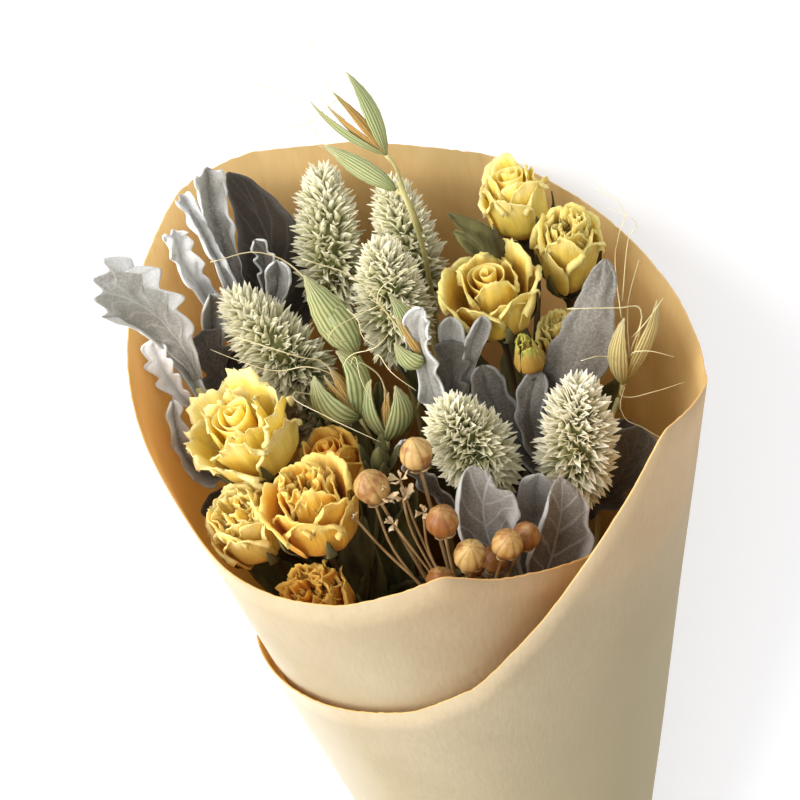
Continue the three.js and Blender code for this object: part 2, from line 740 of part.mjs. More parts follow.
// Wild oats: two boat-shaped husks and a floret on each spikelet, with long bent awns
const huskWidths = [0.12, 0.85, 1, 0.7, 0.12];
const oatStraw = 0.7;
const awnRadius = 0.35;
const floretRadius = 1.3;
const oatPanicles = {
  oat_back: {
    slot: 10,
    stem: [[8, 36, 300], [8.5, 37, 330], [5, 33.5, 352]],
    spikelets: [
      {
        from: [6, 34.5, 347], base: [3, 33, 361], awn: [[-10, 38, 390], [-5, 24, 404], [2, 4, 421.95]],
        husks: [[[-3, 33, 386], 2.5, 1.6], [[-13, 36.5, 378], 2.3, 1.6]],
      },
      {
        from: [8.5, 37, 334], base: [4, 38, 347], awn: [[-18, 60, 366], [-30, 66, 372]],
        husks: [[[-12, 45, 360], 2.6, 1], [[-9, 50, 354], 2.4, 1]],
      },
    ],
  },
  oat_middle: {
    slot: 5,
    stem: [[-11, 9, 270], [-12, 12, 290]],
    spikelets: [
      {
        from: [-12, 12, 286], base: [-14, 16, 314], awn: [[-32, 14, 352], [-44, 8, 356]],
        husks: [[[-22.5, 17, 339], 4.6, 1.6], [[-23, 17, 341], 4.4, 1.6]],
      },
      {
        from: [-12, 11, 282], base: [-16.5, 8, 300], awn: [[-28, 4, 326], [-42, 6, 334]],
        husks: [[[-17.5, 11, 322], 3.6, 3.5], [[-27, 7, 315], 3.4, 3.5]],
      },
      {
        from: [-12, 12, 284], base: [-10.5, 7, 292], awn: [[-12, -2, 324], [-14, -14, 334]],
        husks: [[[-13, 7, 314], 3.2, 2.5], [[-4.5, 2.5, 310], 3, 2.5]],
      },
      {
        from: [-11.5, 10, 278], base: [-1.5, 8, 314], awn: [[-12, 7, 344], [-22, 2, 356]],
        husks: [[[-7, 5, 326], 3.2, 2], [[-4, 9, 334], 3, 2]],
      },
    ],
  },
  oat_right: {
    slot: 7,
    stem: [[44, 4, 278], [50, 3, 294]],
    spikelets: [
      {
        from: [50, 3, 290], base: [51, 1, 300], awn: [[50, -12, 334], [38, -14, 338]],
        husks: [[[52.5, -2, 323], 3.4, 2], [[60.5, -4, 328], 3, 2.2]],
      },
    ],
  },
};

// Pointed boat from the base to the tip, bowed aside
function husk(base, tip, width, bow, aside) {
  const start = vector(base);
  const end = vector(tip);
  const middle = start.clone().lerp(end, 0.5).addScaledVector(aside, bow);
  const outward = aside.clone().multiplyScalar(1.1).add(new THREE.Vector3(0, -0.8, 0.3));
  const widths = huskWidths.map((share) => share * width);
  const shifts = widths.map(() => 0);
  return leaf([start, middle, end].map((p) => p.toArray()), outward.toArray(), widths, shifts, -0.4);
}

for (const [name, { slot, stem: above, spikelets }] of Object.entries(oatPanicles)) {
  const pieces = [stem(slot, above, oatStraw)];
  for (const { from, base, husks, awn } of spikelets) {
    const [first, second] = husks.map(([huskTip]) => vector(huskTip));
    const middle = first.clone().lerp(second, 0.5);
    const tip = middle.toArray();
    const length = lengthBetween(base, tip);
    const places = [-4, 0, 0.3 * length, 0.62 * length].map((distance) => alongAxis(base, tip, distance));
    pieces.push(tube([from, ...places], [0.5, 0.5, 0.8, floretRadius, 0.4], 4));
    for (const [huskTip, width, bow] of husks) {
      const aside = vector(huskTip).sub(middle).add(new THREE.Vector3(0.01, 0, 0)).normalize();
      pieces.push(husk(base, huskTip, width, bow, aside));
    }
    const awnRoot = alongAxis(base, tip, 0.5 * length);
    pieces.push(limb([awnRoot, tip, ...awn], awnRadius, awnRadius, 3, 4));
  }
  addPiece(name, fused(pieces), "oat");
}

// Flax: thin branching stalks, each with a ribbed pod
const flaxStalk = 1;
const flaxTwig = 0.5;
const flaxFork = [1, -33, 248];
const flaxPods = {
  flax_pod_1: { centre: [-4, -30, 316], width: 8 },
  flax_pod_2: { centre: [-16, -33, 311], width: 8.5 },
  flax_pod_3: { centre: [-1, -42, 304], width: 8 },
  flax_pod_4: { centre: [4, -47, 296], width: 8 },
  flax_pod_5: { centre: [13, -50, 300], width: 7.5 },
  flax_pod_6: { centre: [18, -44, 296], width: 7 },
  flax_pod_7: { centre: [-4, -45, 288], width: 7 },
  flax_pod_8: { centre: [10, -39, 286], width: 7 },
  flax_pod_9: { centre: [4.5, -36, 283], width: 6.5 },
};
const podRings = [[0.06, 0.3], [0.26, 0.86], [0.52, 1], [0.78, 0.62]];

function pod(width) {
  const length = width * 1.12;
  const rings = podRings.map(([share, spread]) => Array.from({ length: 8 }, (_, j) => {
    const rib = j % 2 ? 0.88 : 1;
    const angle = Math.PI * j / 4;
    const radius = width / 2 * spread * rib;
    return new THREE.Vector3(radius * Math.cos(angle), radius * Math.sin(angle), share * length);
  }));
  return skin(new THREE.Vector3(0, 0, 0), rings, new THREE.Vector3(0, 0, length));
}

const flaxParts = [stem(16, [flaxFork], flaxStalk)];
for (const [name, { centre, width }] of Object.entries(flaxPods)) {
  const spread = vector(centre).sub(vector([0, -22, 240])).normalize();
  const base = vector(centre).addScaledVector(spread, -width / 2).toArray();
  const tip = vector(centre).addScaledVector(spread, width / 2).toArray();
  addPiece(name, stood(pod(width), base, tip), "flaxPod");
  const start = alongAxis(flaxFork, [...slotPlace(16), bundleTop], 2);
  const places = [start, alongAxis(base, tip, -12), alongAxis(base, tip, -seat)];
  flaxParts.push(tube(places, [0.7, flaxTwig, flaxTwig], 4));
}
addPiece("flax_stalks", fused(flaxParts), "flaxStem");

// Laid on the flat strip at its back, with the blooms towards +Y and the origin under its middle
upright.rotation.x = Math.atan(restSlope) - Math.PI / 2;
upright.position.set(...laidPlace);

export default bouquet;
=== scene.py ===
# Dried flower bouquet in a kraft paper cone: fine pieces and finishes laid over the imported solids.
# Pieces are shaped upright, in millimetres, stems down and blooms up, and then laid in the frame.
import math

import bmesh
import bpy
from mathutils import Matrix, Quaternion, Vector, noise


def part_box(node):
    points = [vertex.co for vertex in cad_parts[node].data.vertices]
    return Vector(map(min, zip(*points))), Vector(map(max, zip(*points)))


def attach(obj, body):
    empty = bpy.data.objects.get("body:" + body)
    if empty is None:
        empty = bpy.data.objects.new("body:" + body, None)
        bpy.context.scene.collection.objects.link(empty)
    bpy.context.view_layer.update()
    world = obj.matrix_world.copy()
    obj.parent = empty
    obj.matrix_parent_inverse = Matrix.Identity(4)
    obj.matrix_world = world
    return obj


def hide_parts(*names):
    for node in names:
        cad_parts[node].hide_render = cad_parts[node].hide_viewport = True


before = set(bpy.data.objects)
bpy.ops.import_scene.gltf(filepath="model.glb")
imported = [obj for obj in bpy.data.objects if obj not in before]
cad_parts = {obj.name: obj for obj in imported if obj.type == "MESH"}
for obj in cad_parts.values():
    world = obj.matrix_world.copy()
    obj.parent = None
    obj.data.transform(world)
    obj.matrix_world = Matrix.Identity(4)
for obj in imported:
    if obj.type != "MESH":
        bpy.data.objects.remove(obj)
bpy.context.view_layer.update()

scene = bpy.context.scene
millimetre = 0.001

# How the upright bouquet is laid on its flat strip of paper
lying = {"restFoot": 10.6, "restSlope": 0.172, "bindingMiddle": 24, "bundleTop": 46, "rimHeight": 318,
         "mouthShift": 0.7, "lean": 0.029}


def coneAxis(z):
    # The leaning middle line of the cone, which stays upright in the tied bundle
    return lying["mouthShift"] + lying["lean"] * (lying["rimHeight"] - max(z, lying["bundleTop"]))


def layingMatrix():
    low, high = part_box("stem_binding")
    tilt = math.atan(lying["restSlope"])
    x = (low.x + high.x) / 2 - coneAxis(0) * millimetre
    y = (low.y + high.y) / 2 - lying["bindingMiddle"] * math.cos(tilt) * millimetre
    z = lying["restFoot"] * math.cos(tilt) * millimetre
    turned = Matrix.Rotation(tilt - math.pi / 2, 4, "X")
    return Matrix.Translation((x, y, z)) @ turned @ Matrix.Scale(millimetre, 4)


laying = layingMatrix()


# Small sums that many pieces share
def chance(n):
    # The same number from 0 to 1 each time for the same n
    wave = math.sin(n * 12.9898 + 4.1414) * 43758.5453
    return wave - math.floor(wave)


def between(low, high, n):
    return low + (high - low) * chance(n)


def follow(corners, position):
    # Value on the line through corners of (place, value)
    for (lowPlace, lowValue), (highPlace, highValue) in zip(corners, corners[1:]):
        if position <= highPlace:
            return lowValue + (highValue - lowValue) * (position - lowPlace) / (highPlace - lowPlace)
    return corners[-1][1]


def smoothly(values, share):
    # Value at a share of an evenly spaced list, rounded between its entries
    nearlyOne = 0.99999
    spot = min(max(share, 0), nearlyOne) * (len(values) - 1)
    k = int(spot)
    blend = (1 - math.cos(math.pi * (spot - k))) / 2
    return values[k] * (1 - blend) + values[k + 1] * blend


def wobble(x, y, z, size=1):
    return noise.noise(Vector((x, y, z)) / size)


def around(radius, angle, z):
    return Vector((radius * math.cos(angle), radius * math.sin(angle), z))


def swelling(share, end):
    # Rises from 0 to 1, which it reaches at the end
    return math.sin(math.pi / 2 * min(1, share / end))


def lengthOf(base, tip):
    return (Vector(tip) - Vector(base)).length


def alongAxis(base, tip, distance):
    base, tip = Vector(base), Vector(tip)
    return base + (tip - base).normalized() * distance


def standing(base, tip, roll=0):
    # Moves what was made along +Z so that it stands on its base and points to its tip
    base, tip = Vector(base), Vector(tip)
    turn = Vector((0, 0, 1)).rotation_difference((tip - base).normalized())
    return Matrix.Translation(base) @ turn.to_matrix().to_4x4() @ Matrix.Rotation(math.radians(roll), 4, "Z")


def spinePath(points):
    # Smooth line through three points, as (place, direction) at a share of its length
    first, middle, last = (Vector(p) for p in points)
    control = middle * 2 - (first + last) / 2

    def at(share):
        place = first * (1 - share) ** 2 + control * 2 * share * (1 - share) + last * share * share
        direction = (control - first) * (1 - share) + (last - control) * share
        return place, direction.normalized()

    return at


# Mesh helpers
def addSheet(bm, columns, rows, shape, tone=0.5, heart=0.0, material=0, rim=0.0):
    # A grid whose points are moved by shape(u, v), with u across from -1 to 1 and v along from 0 to 1
    bm.loops.layers.uv.verify()
    marks = {"tone": tone, "heart": heart, "rim": rim}
    for name in marks:
        if not bm.verts.layers.float.get(name):
            bm.verts.layers.float.new(name)
    made = bmesh.ops.create_grid(bm, x_segments=columns, y_segments=rows, size=1, calc_uvs=True)["verts"]
    for vertex in made:
        vertex.co = shape(vertex.co.x, (vertex.co.y + 1) / 2)
        for name, value in marks.items():
            vertex[bm.verts.layers.float[name]] = value
    for face in {face for vertex in made for face in vertex.link_faces}:
        face.material_index = material
    return made


def meshFrom(bm):
    mesh = bpy.data.meshes.new("part")
    bm.to_mesh(mesh)
    bm.free()
    return mesh


def finishedMesh(data, modifierKind=None, **settings):
    # The mesh of a curve, or of a mesh with one modifier applied to it
    holder = bpy.data.objects.new("holder", data)
    scene.collection.objects.link(holder)
    if modifierKind:
        modifier = holder.modifiers.new(modifierKind, modifierKind)
        for name, value in settings.items():
            setattr(modifier, name, value)
    graph = bpy.context.evaluated_depsgraph_get()
    graph.update()
    finished = bpy.data.meshes.new_from_object(holder.evaluated_get(graph))
    bpy.data.objects.remove(holder)
    return finished


def thickened(mesh, thickness):
    return finishedMesh(mesh, "SOLIDIFY", thickness=thickness, offset=0, use_quality_normals=True)


def sheetMesh(columns, rows, shape, thickness, **marks):
    bm = bmesh.new()
    addSheet(bm, columns, rows, shape, **marks)
    return thickened(meshFrom(bm), thickness)


def rounded(mesh):
    return finishedMesh(mesh, "SUBSURF", levels=1, render_levels=1)


def joined(meshes):
    bm = bmesh.new()
    for mesh in meshes:
        bm.from_mesh(mesh)
    return meshFrom(bm)


def tubes(lines, sides=2, smooth=False, material=0):
    # Round stems through lines of points, each given as (x, y, z, radius)
    curve = bpy.data.curves.new("stems", "CURVE")
    curve.dimensions = "3D"
    curve.bevel_depth = 1
    curve.bevel_resolution = sides
    curve.resolution_u = 5
    curve.use_fill_caps = True
    for line in lines:
        spline = curve.splines.new("BEZIER" if smooth else "POLY")
        points = spline.bezier_points if smooth else spline.points
        points.add(len(line) - 1)
        for point, (x, y, z, radius) in zip(points, line):
            point.co = (x, y, z) if smooth else (x, y, z, 1)
            point.radius = radius
            if smooth:
                point.handle_left_type = point.handle_right_type = "AUTO"
    seam = 0.0005
    bm = bmesh.new()
    bm.from_mesh(finishedMesh(curve))
    bmesh.ops.remove_doubles(bm, verts=bm.verts, dist=seam)
    bmesh.ops.recalc_face_normals(bm, faces=bm.faces)
    for face in bm.faces:
        face.material_index = material
    return meshFrom(bm)


def addPiece(name, meshes, finishes, slot, *nodes):
    mesh = joined(meshes)
    mesh.name = name
    mesh.transform(laying)
    for finish in finishes:
        mesh.materials.append(finish)
    mesh.polygons.foreach_set("use_smooth", [True] * len(mesh.polygons))
    piece = bpy.data.objects.new(name, mesh)
    scene.collection.objects.link(piece)
    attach(piece, "root")
    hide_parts(*nodes)


# Finishes: each is one Principled shader fed by procedural colour and bump
def tint(code):
    parts = [int(code[k:k + 2], 16) / 255 for k in (1, 3, 5)]
    return [p / 12.92 if p < 0.04045 else ((p + 0.055) / 1.055) ** 2.4 for p in parts] + [1]


class Finish:
    def __init__(self, name, roughness, specular, sheen=0.0):
        self.material = bpy.data.materials.new(name)
        self.material.use_nodes = True
        self.tree = self.material.node_tree
        self.shader = self.tree.nodes["Principled BSDF"]
        self.shader.inputs["Roughness"].default_value = roughness
        self.shader.inputs["Sheen Weight"].default_value = sheen
        self.shader.inputs["Specular IOR Level"].default_value = specular

    def add(self, kind, inputs=None, **settings):
        made = self.tree.nodes.new(kind)
        for name, value in settings.items():
            setattr(made, name, value)
        for name, value in (inputs or {}).items():
            self.give(made.inputs[name], value)
        return made

    def give(self, socket, value):
        # A link, or a plain value that may be a colour code
        if isinstance(value, bpy.types.NodeSocket):
            self.tree.links.new(value, socket)
        else:
            socket.default_value = tint(value) if isinstance(value, str) else value

    def stretched(self, source, scale):
        return self.add("ShaderNodeMapping", {"Vector": source, "Scale": scale}).outputs["Vector"]

    def coordinates(self, scale=(1, 1, 1)):
        return self.stretched(self.add("ShaderNodeTexCoord").outputs["Object"], scale)

    def attribute(self, name):
        return self.add("ShaderNodeAttribute", attribute_name=name).outputs["Fac"]

    def noise(self, scale, detail, vector=None):
        inputs = {"Vector": vector or self.coordinates(), "Scale": scale, "Detail": detail}
        return self.add("ShaderNodeTexNoise", inputs).outputs["Fac"]

    def reckon(self, operation, first, second=0.0):
        return self.add("ShaderNodeMath", {0: first, 1: second}, operation=operation).outputs[0]

    def plus(self, first, second):
        return self.reckon("ADD", first, second)

    def minus(self, first, second):
        return self.reckon("SUBTRACT", first, second)

    def times(self, first, second):
        return self.reckon("MULTIPLY", first, second)

    def larger(self, first, second):
        return self.reckon("MAXIMUM", first, second)

    def spread(self, value, low, high, toLow=0.0, toHigh=1.0):
        inputs = {"Value": value, "From Min": low, "From Max": high, "To Min": toLow, "To Max": toHigh}
        return self.add("ShaderNodeMapRange", inputs).outputs["Result"]

    def ramp(self, factor, stops):
        made = self.add("ShaderNodeValToRGB", {"Fac": factor})
        elements = made.color_ramp.elements
        while len(elements) < len(stops):
            elements.new(1)
        for element, (position, code) in zip(elements, stops):
            element.position = position
            element.color = tint(code)
        return made.outputs["Color"]

    def mix(self, factor, first, second, blend="MIX"):
        # The Mix node's colour sockets are its inputs 6 and 7 and its output 2
        made = self.add("ShaderNodeMix", data_type="RGBA", blend_type=blend)
        for socket, value in zip((0, 6, 7), (factor, first, second)):
            self.give(made.inputs[socket], value)
        return made.outputs[2]

    def uv(self):
        return self.add("ShaderNodeUVMap").outputs["UV"]

    def places(self):
        # Across and along a sheet, from 0 to 1
        parts = self.add("ShaderNodeSeparateXYZ", {"Vector": self.uv()})
        return parts.outputs["X"], parts.outputs["Y"]

    def sideways(self):
        # From a sheet's middle line to its sides, from 0 to 1, and along it
        across, along = self.places()
        return self.reckon("ABSOLUTE", self.spread(across, 0, 1, -1, 1)), along

    def colour(self, socket):
        self.tree.links.new(socket, self.shader.inputs["Base Color"])

    def bump(self, height, distance, strength=1.0):
        inputs = {"Height": height, "Distance": distance, "Strength": strength}
        made = self.add("ShaderNodeBump", inputs).outputs["Normal"]
        self.tree.links.new(made, self.shader.inputs["Normal"])
        return self

    def glow(self, colour, share):
        # Lets light through a thin sheet
        through = self.add("ShaderNodeBsdfTranslucent", {"Color": colour}).outputs[0]
        made = self.add("ShaderNodeMixShader", {0: share, 1: self.shader.outputs[0], 2: through})
        self.tree.links.new(made.outputs[0], self.tree.nodes["Material Output"].inputs["Surface"])
        return self


# Kraft paper: one sheet wound from an inner end to an outer end, by degrees along the sheet
paper = {
    "footRadius": 10.5, "flare": 0.191, "neckHeight": 24, "neckPinch": 0.3, "neckLength": 24,
    "sheetStart": 320, "sheetLength": 495, "thickness": 0.45, "columns": 396, "rows": 46,
    "rim": [
        [0, 293], [20, 294.5], [44, 303], [54, 309], [60, 306], [76, 299.5], [92, 297], [108, 296],
        [116, 298], [124, 309], [132, 317.5], [148, 325], [164, 334.5], [180, 343.5], [188, 348], [200, 348],
        [228, 344.5], [244, 338], [268, 328], [300, 315.5], [316, 311], [332, 311.5], [348, 322], [367, 330],
        [372, 324], [380, 313], [396, 289.5], [412, 269.5], [428, 259.5], [444, 255.5], [468, 250],
        [495, 244],
    ],
    "rimOffset": [
        [0, -7], [40, -4], [75, -1.5], [110, -0.6], [135, -0.6], [150, 0], [300, 0], [330, 0.4],
        [360, 2], [375, 3], [410, 3], [440, 2.4], [495, 1.4],
    ],
    "neckOffset": [[0, -0.1], [135, -0.1], [150, 0], [300, 0], [340, 1.2], [495, 1.2]],
    "cornerRounding": 1.2, "cutRoughness": 0.35, "dents": 0.5, "pleats": 15, "pleatDepth": 0.8,
    "tuckDepth": 0.4, "bump": 0.0002,
    # Outside and inside tones: grain, painted shade low in the cone and on the hidden end of the sheet,
    # painted light towards the left, and the light let through
    "outside": {"pale": "#beb195", "dark": "#b2a588", "lowerShade": "#bcae8c", "left": "#eff2ec",
                "depth": "#bcae8c", "overlapShade": "#94693a", "through": "#f2dcb2", "glow": 0.22},
    "inside": {"pale": "#f0d89a", "dark": "#e6c888", "lowerShade": "#cf8a36", "left": "#cf8a36",
               "depth": "#4a2c16", "overlapShade": "#c89048", "through": "#f8b654", "glow": 0.45},
}


def kraftFinish(name, tones):
    finish = Finish(name, roughness=0.75, specular=0.2)
    clouds = finish.noise(38, 4)
    fibres = finish.noise(900, 3, finish.coordinates((1, 0.12, 1)))
    grain = finish.plus(finish.times(clouds, 0.65), finish.times(fibres, 0.35))
    colour = finish.ramp(finish.spread(grain, 0.36, 0.64), [(0, tones["dark"]), (1, tones["pale"])])
    across, along = finish.places()
    # Painted shade: the walls darken down into the cone, turning orange on the inside
    colour = finish.mix(finish.spread(along, 0.72, 0.96, 1, 0), colour, tones["lowerShade"])
    # Painted shade on the end of the sheet that lies behind the outer layer
    colour = finish.mix(finish.spread(across, 0.86, 0.98, 0, 0.85), colour, tones["overlapShade"])
    # Both walls pale towards the left, where the light comes from
    wall = finish.times(finish.spread(across, 0.7, 0.8, 0.6, 0), finish.spread(across, 0.66, 0.72))
    lit = finish.plus(wall, finish.spread(across, 0, 0.1, 0.6, 0))
    colour = finish.mix(lit, colour, tones["left"])
    # Painted shade, darkest low in the cone, also on the light let through the sheet
    depthShade = finish.spread(along, 0.72, 0.9, 0.85, 0)
    colour = finish.mix(depthShade, colour, tones["depth"])
    finish.colour(colour)
    finish.bump(finish.plus(fibres, finish.times(clouds, 2.0)), paper["bump"], 0.6)
    through = finish.mix(0.8, colour, tones["through"])
    return finish.glow(finish.mix(depthShade, through, tones["depth"]), tones["glow"]).material


kraftOutside = kraftFinish("kraft_outside", paper["outside"])
kraftInside = kraftFinish("kraft_inside", paper["inside"])


def paperRadius(z):
    pinch = math.exp(-(((z - paper["neckHeight"]) / paper["neckLength"]) ** 2))
    return (paper["footRadius"] + paper["flare"] * z) * (1 - paper["neckPinch"] * pinch)


def paperPoint(place, z):
    neck = follow(paper["neckOffset"], place)
    rim = follow(paper["rimOffset"], place)
    angle = math.radians(paper["sheetStart"] - place)
    x, y = math.cos(angle), math.sin(angle)
    radius = paperRadius(z) + neck + (rim - neck) * max(0, z / lying["rimHeight"]) ** 1.5
    # Soft dents above, and pleats that spread from the twine, alike on both layers
    upper = min(1, max(0, (z - 70) / 80))
    dent = wobble(2.2 * x, 2.2 * y, z / 55) * paper["dents"] * upper
    fold = 0.5 + 0.5 * math.cos(paper["pleats"] * angle + 3 * wobble(x, y, 0))
    pleat = fold * paper["pleatDepth"] * math.exp(-(((z - 58) / 30) ** 2))
    tuck = fold * paper["tuckDepth"] * math.exp(-(((z - 20) / 16) ** 2))
    radius += dent + pleat + tuck
    back = lying["restFoot"] + lying["restSlope"] * z
    return Vector((coneAxis(z) + radius * x, min(radius * y, back), z))


def paperSheet(u, v):
    place = (1 - u) / 2 * paper["sheetLength"]
    reach = paper["cornerRounding"]
    rim = (follow(paper["rim"], place - reach) + follow(paper["rim"], place + reach)) / 2
    rim += paper["cutRoughness"] * (wobble(place, 0, 0, 1.7) + 0.6 * wobble(place, 5, 0, 0.7))
    return paperPoint(place, rim * (0.5 * v + 0.5 * v * v))


bm = bmesh.new()
addSheet(bm, paper["columns"], paper["rows"], paperSheet)
sheet = meshFrom(bm)
for finish in (kraftOutside, kraftInside):
    sheet.materials.append(finish)
sheet = finishedMesh(
    sheet, "SOLIDIFY", thickness=paper["thickness"], offset=-1, material_offset=1, material_offset_rim=1
)
addPiece("kraft_sheet", [sheet], [kraftOutside, kraftInside], "kraft_paper", "kraft_wrapper")
print("kraft paper done")

# Stems: eased paths from the cut end through the tied bundle
bundle = {"slotSpacing": 3.1, "sheathRadius": 1.25, "seat": 0.3, "cutEnds": (-17, -10)}


def slotPlace(slot):
    # One stem in the middle, a ring of six and a ring of twelve
    if slot == 0:
        return coneAxis(0), 0
    ring = 1 if slot <= 6 else 2
    step = slot - (1 if ring == 1 else 7)
    corner = step // ring
    start, end = math.radians(60 * corner), math.radians(60 * (corner + 1))
    share = (step % ring) / ring
    reach = ring * bundle["slotSpacing"]
    x = reach * (math.cos(start) * (1 - share) + math.cos(end) * share)
    y = reach * (math.sin(start) * (1 - share) + math.sin(end) * share)
    return coneAxis(0) + x, y


def eased(line, reach=14, steps=4):
    # The same line of (x, y, z, radius) with its inner corners rounded
    points = [Vector(p) for p in line]
    path = [points[0]]
    largest = 0.45
    for before, corner, after in zip(points, points[1:], points[2:]):
        toBefore, toAfter = before - corner, after - corner
        first = corner + toBefore * min(largest, reach / max(toBefore.length, 0.01))
        last = corner + toAfter * min(largest, reach / max(toAfter.length, 0.01))
        for k in range(steps + 1):
            t = k / steps
            path.append(first * (1 - t) ** 2 + corner * 2 * t * (1 - t) + last * t * t)
    path.append(points[-1])
    return [tuple(p) for p in path]


def stemLine(slot, above, radius, endRadius=None):
    endRadius = endRadius or radius
    x, y = slotPlace(slot)
    low = max(radius, bundle["sheathRadius"])
    line = [(x, y, between(*bundle["cutEnds"], slot + 3), low), (x, y, lying["bundleTop"], low)]
    for k, point in enumerate(above):
        line.append((*point, radius + (endRadius - radius) * (k + 1) / len(above)))
    return eased(line)


def barkFinish(name, pale, dark, roughness=0.7):
    finish = Finish(name, roughness=roughness, specular=0.25)
    streaks = finish.noise(350, 4, finish.coordinates((1, 0.08, 1)))
    patches = finish.noise(60, 2)
    tone = finish.plus(finish.times(streaks, 0.6), finish.times(patches, 0.4))
    finish.colour(finish.ramp(finish.spread(tone, 0.35, 0.65), [(0, dark), (1, pale)]))
    return finish.bump(streaks, 0.0003, 0.5).material


straw = barkFinish("dry_straw", "#c9bd86", "#8f8a52")
brownStem = barkFinish("rose_stem_brown", "#5c4c30", "#37291a")
twigBark = barkFinish("flax_twig_bark", "#b09468", "#6e5230")

# Canary grass: pointed keeled scales wound round an egg-shaped head
canary = {
    "scales": 640, "scaleLength": 6.6, "scaleWidth": 2.1, "keel": 0.95, "scaleThickness": 0.12, "core": 0.6,
    "coreHeight": 0.93, "sunk": 1.5, "lean": 18, "leanAbove": 42, "twist": 75, "sizes": (0.8, 1.12),
    "strawRadius": 0.9, "strawStraight": 12, "keelTint": "#7d8a4c", "edgeTint": "#f2efdc", "glow": 0.35,
    "green": [(0, "#80803c"), (0.25, "#c2c382"), (0.6, "#ece9bf"), (1, "#fcf8e0")],
    "cream": [(0, "#8c884c"), (0.3, "#d3cf98"), (0.6, "#f4eecb"), (1, "#fdf8e6")],
    "heads": {
        "canary_1": {"slot": 11, "base": (-18, 49, 308), "tip": (-14, 57, 346), "width": 18},
        "canary_2": {"slot": 9, "base": (6, 46, 304), "tip": (3, 51, 342), "width": 16.5},
        "canary_3": {"slot": 2, "base": (-2, 28, 304), "tip": (-3, 23, 341), "width": 20},
        "canary_4": {"slot": 4, "base": (-27, 27, 298), "tip": (-43, 29, 331), "width": 20},
        "canary_5": {"slot": 6, "base": (14, -12, 289), "tip": (5, -21, 321), "width": 21},
        "canary_6": {"slot": 18, "base": (34, -17, 284), "tip": (38, -20, 320), "width": 20, "cream": True},
        "canary_7": {"slot": 3, "base": (-24, 36, 262), "tip": (-33, 44, 298), "width": 19},
    },
}


def canaryFinish(name, stops):
    finish = Finish(name, roughness=0.8, specular=0.25)
    side, along = finish.sideways()
    tone = finish.times(finish.minus(finish.attribute("tone"), 0.5), 0.45)
    height = finish.times(finish.attribute("heart"), 0.3)
    place = finish.plus(finish.plus(along, tone), height)
    colour = finish.ramp(place, stops)
    keel = finish.times(finish.spread(side, 0, 0.3, 0.35, 0), finish.spread(along, 0.5, 1, 1, 0.2))
    colour = finish.mix(keel, colour, canary["keelTint"])
    colour = finish.mix(finish.spread(side, 0.6, 1, 0, 0.4), colour, canary["edgeTint"])
    finish.colour(colour)
    finish.bump(side, 0.0002, 0.5)
    return finish.glow(colour, canary["glow"]).material


canaryGreen = canaryFinish("canary_scale_green", canary["green"])
canaryCream = canaryFinish("canary_scale_cream", canary["cream"])
canaryCore = barkFinish("canary_core", "#8a8c58", "#5d6138")


def canaryProfile(share):
    # Width of the head at a share of its height, as a share of its greatest width
    share = min(max(share, 0.001), 0.999)
    return math.sqrt(4 * share * (1 - share)) * (1.12 - 0.25 * share)


def canaryScale():
    length, half = canary["scaleLength"], canary["scaleWidth"] / 2

    def shape(u, v):
        opening = 0.35 + 0.65 * swelling(v, 0.45)
        narrowing = 1 - max(0, (v - 0.45) / 0.55) ** 1.5 * 0.97
        width = half * opening * narrowing
        y = -abs(u) ** 1.2 * width * canary["keel"] + 1.1 * max(0, v - 0.3) ** 2
        return Vector((u * width, y, length * v))

    return sheetMesh(2, 4, shape, canary["scaleThickness"])


def canaryHead(template, length, width, seed):
    bm = bmesh.new()
    bm.loops.layers.uv.verify()
    toneLayer = bm.verts.layers.float.new("tone")
    ball = bmesh.ops.create_uvsphere(bm, u_segments=16, v_segments=12, radius=1)["verts"]
    for vertex in ball:
        share = (vertex.co.z + 1) / 2
        flat = Vector((vertex.co.x, vertex.co.y, 0))
        radius = canary["core"] * canaryProfile(share) * width / 2 if flat.length > 0.01 else 0
        vertex.co = flat.normalized() * radius + Vector((0, 0, share * length * canary["coreHeight"]))
        vertex[toneLayer] = 0
    for face in bm.faces:
        face.material_index = 1
    golden = math.pi * (3 - math.sqrt(5))
    step = 0.02
    count = canary["scales"]
    for k in range(count):
        share = 0.02 + 0.97 * (k + 0.5) / count
        angle = golden * k + 0.5 * (chance(seed * 7 + k) - 0.5)
        out = around(1, angle, 0)
        slope = (canaryProfile(share + step) - canaryProfile(share - step)) * width / 2 / (2 * step * length)
        normal = (out - Vector((0, 0, slope))).normalized()
        lean = math.radians(canary["lean"] + canary["leanAbove"] * share + between(-22, 20, seed * 13 + k))
        along = normal * math.cos(lean) + Vector((0, 0, 1)) * math.sin(lean)
        aside = out.cross(normal + Vector((0, 0, 0.3))) * between(-0.3, 0.3, seed * 29 + k)
        along = (along + aside).normalized()
        facing = normal - along * normal.dot(along)
        facing = facing.normalized() if facing.length > 0.05 else (out - along * out.dot(along)).normalized()
        twist = between(-canary["twist"], canary["twist"], seed * 17 + k)
        facing = Quaternion(along, math.radians(twist)) @ facing
        size = between(*canary["sizes"], seed * 19 + k)
        rise = Vector((0, 0, share * length * canary["coreHeight"]))
        start = out * canary["core"] * canaryProfile(share) * width / 2 + rise
        start -= along * canary["sunk"]
        side = facing.cross(along)
        turn = Matrix((side * size, facing * size, along * size)).transposed().to_4x4()
        copy = template.copy()
        copy.transform(Matrix.Translation(start) @ turn)
        copy.attributes["tone"].data.foreach_set("value", [chance(seed * 23 + k)] * len(copy.vertices))
        copy.attributes["heart"].data.foreach_set("value", [share] * len(copy.vertices))
        bm.from_mesh(copy)
        bpy.data.meshes.remove(copy)
    return meshFrom(bm)


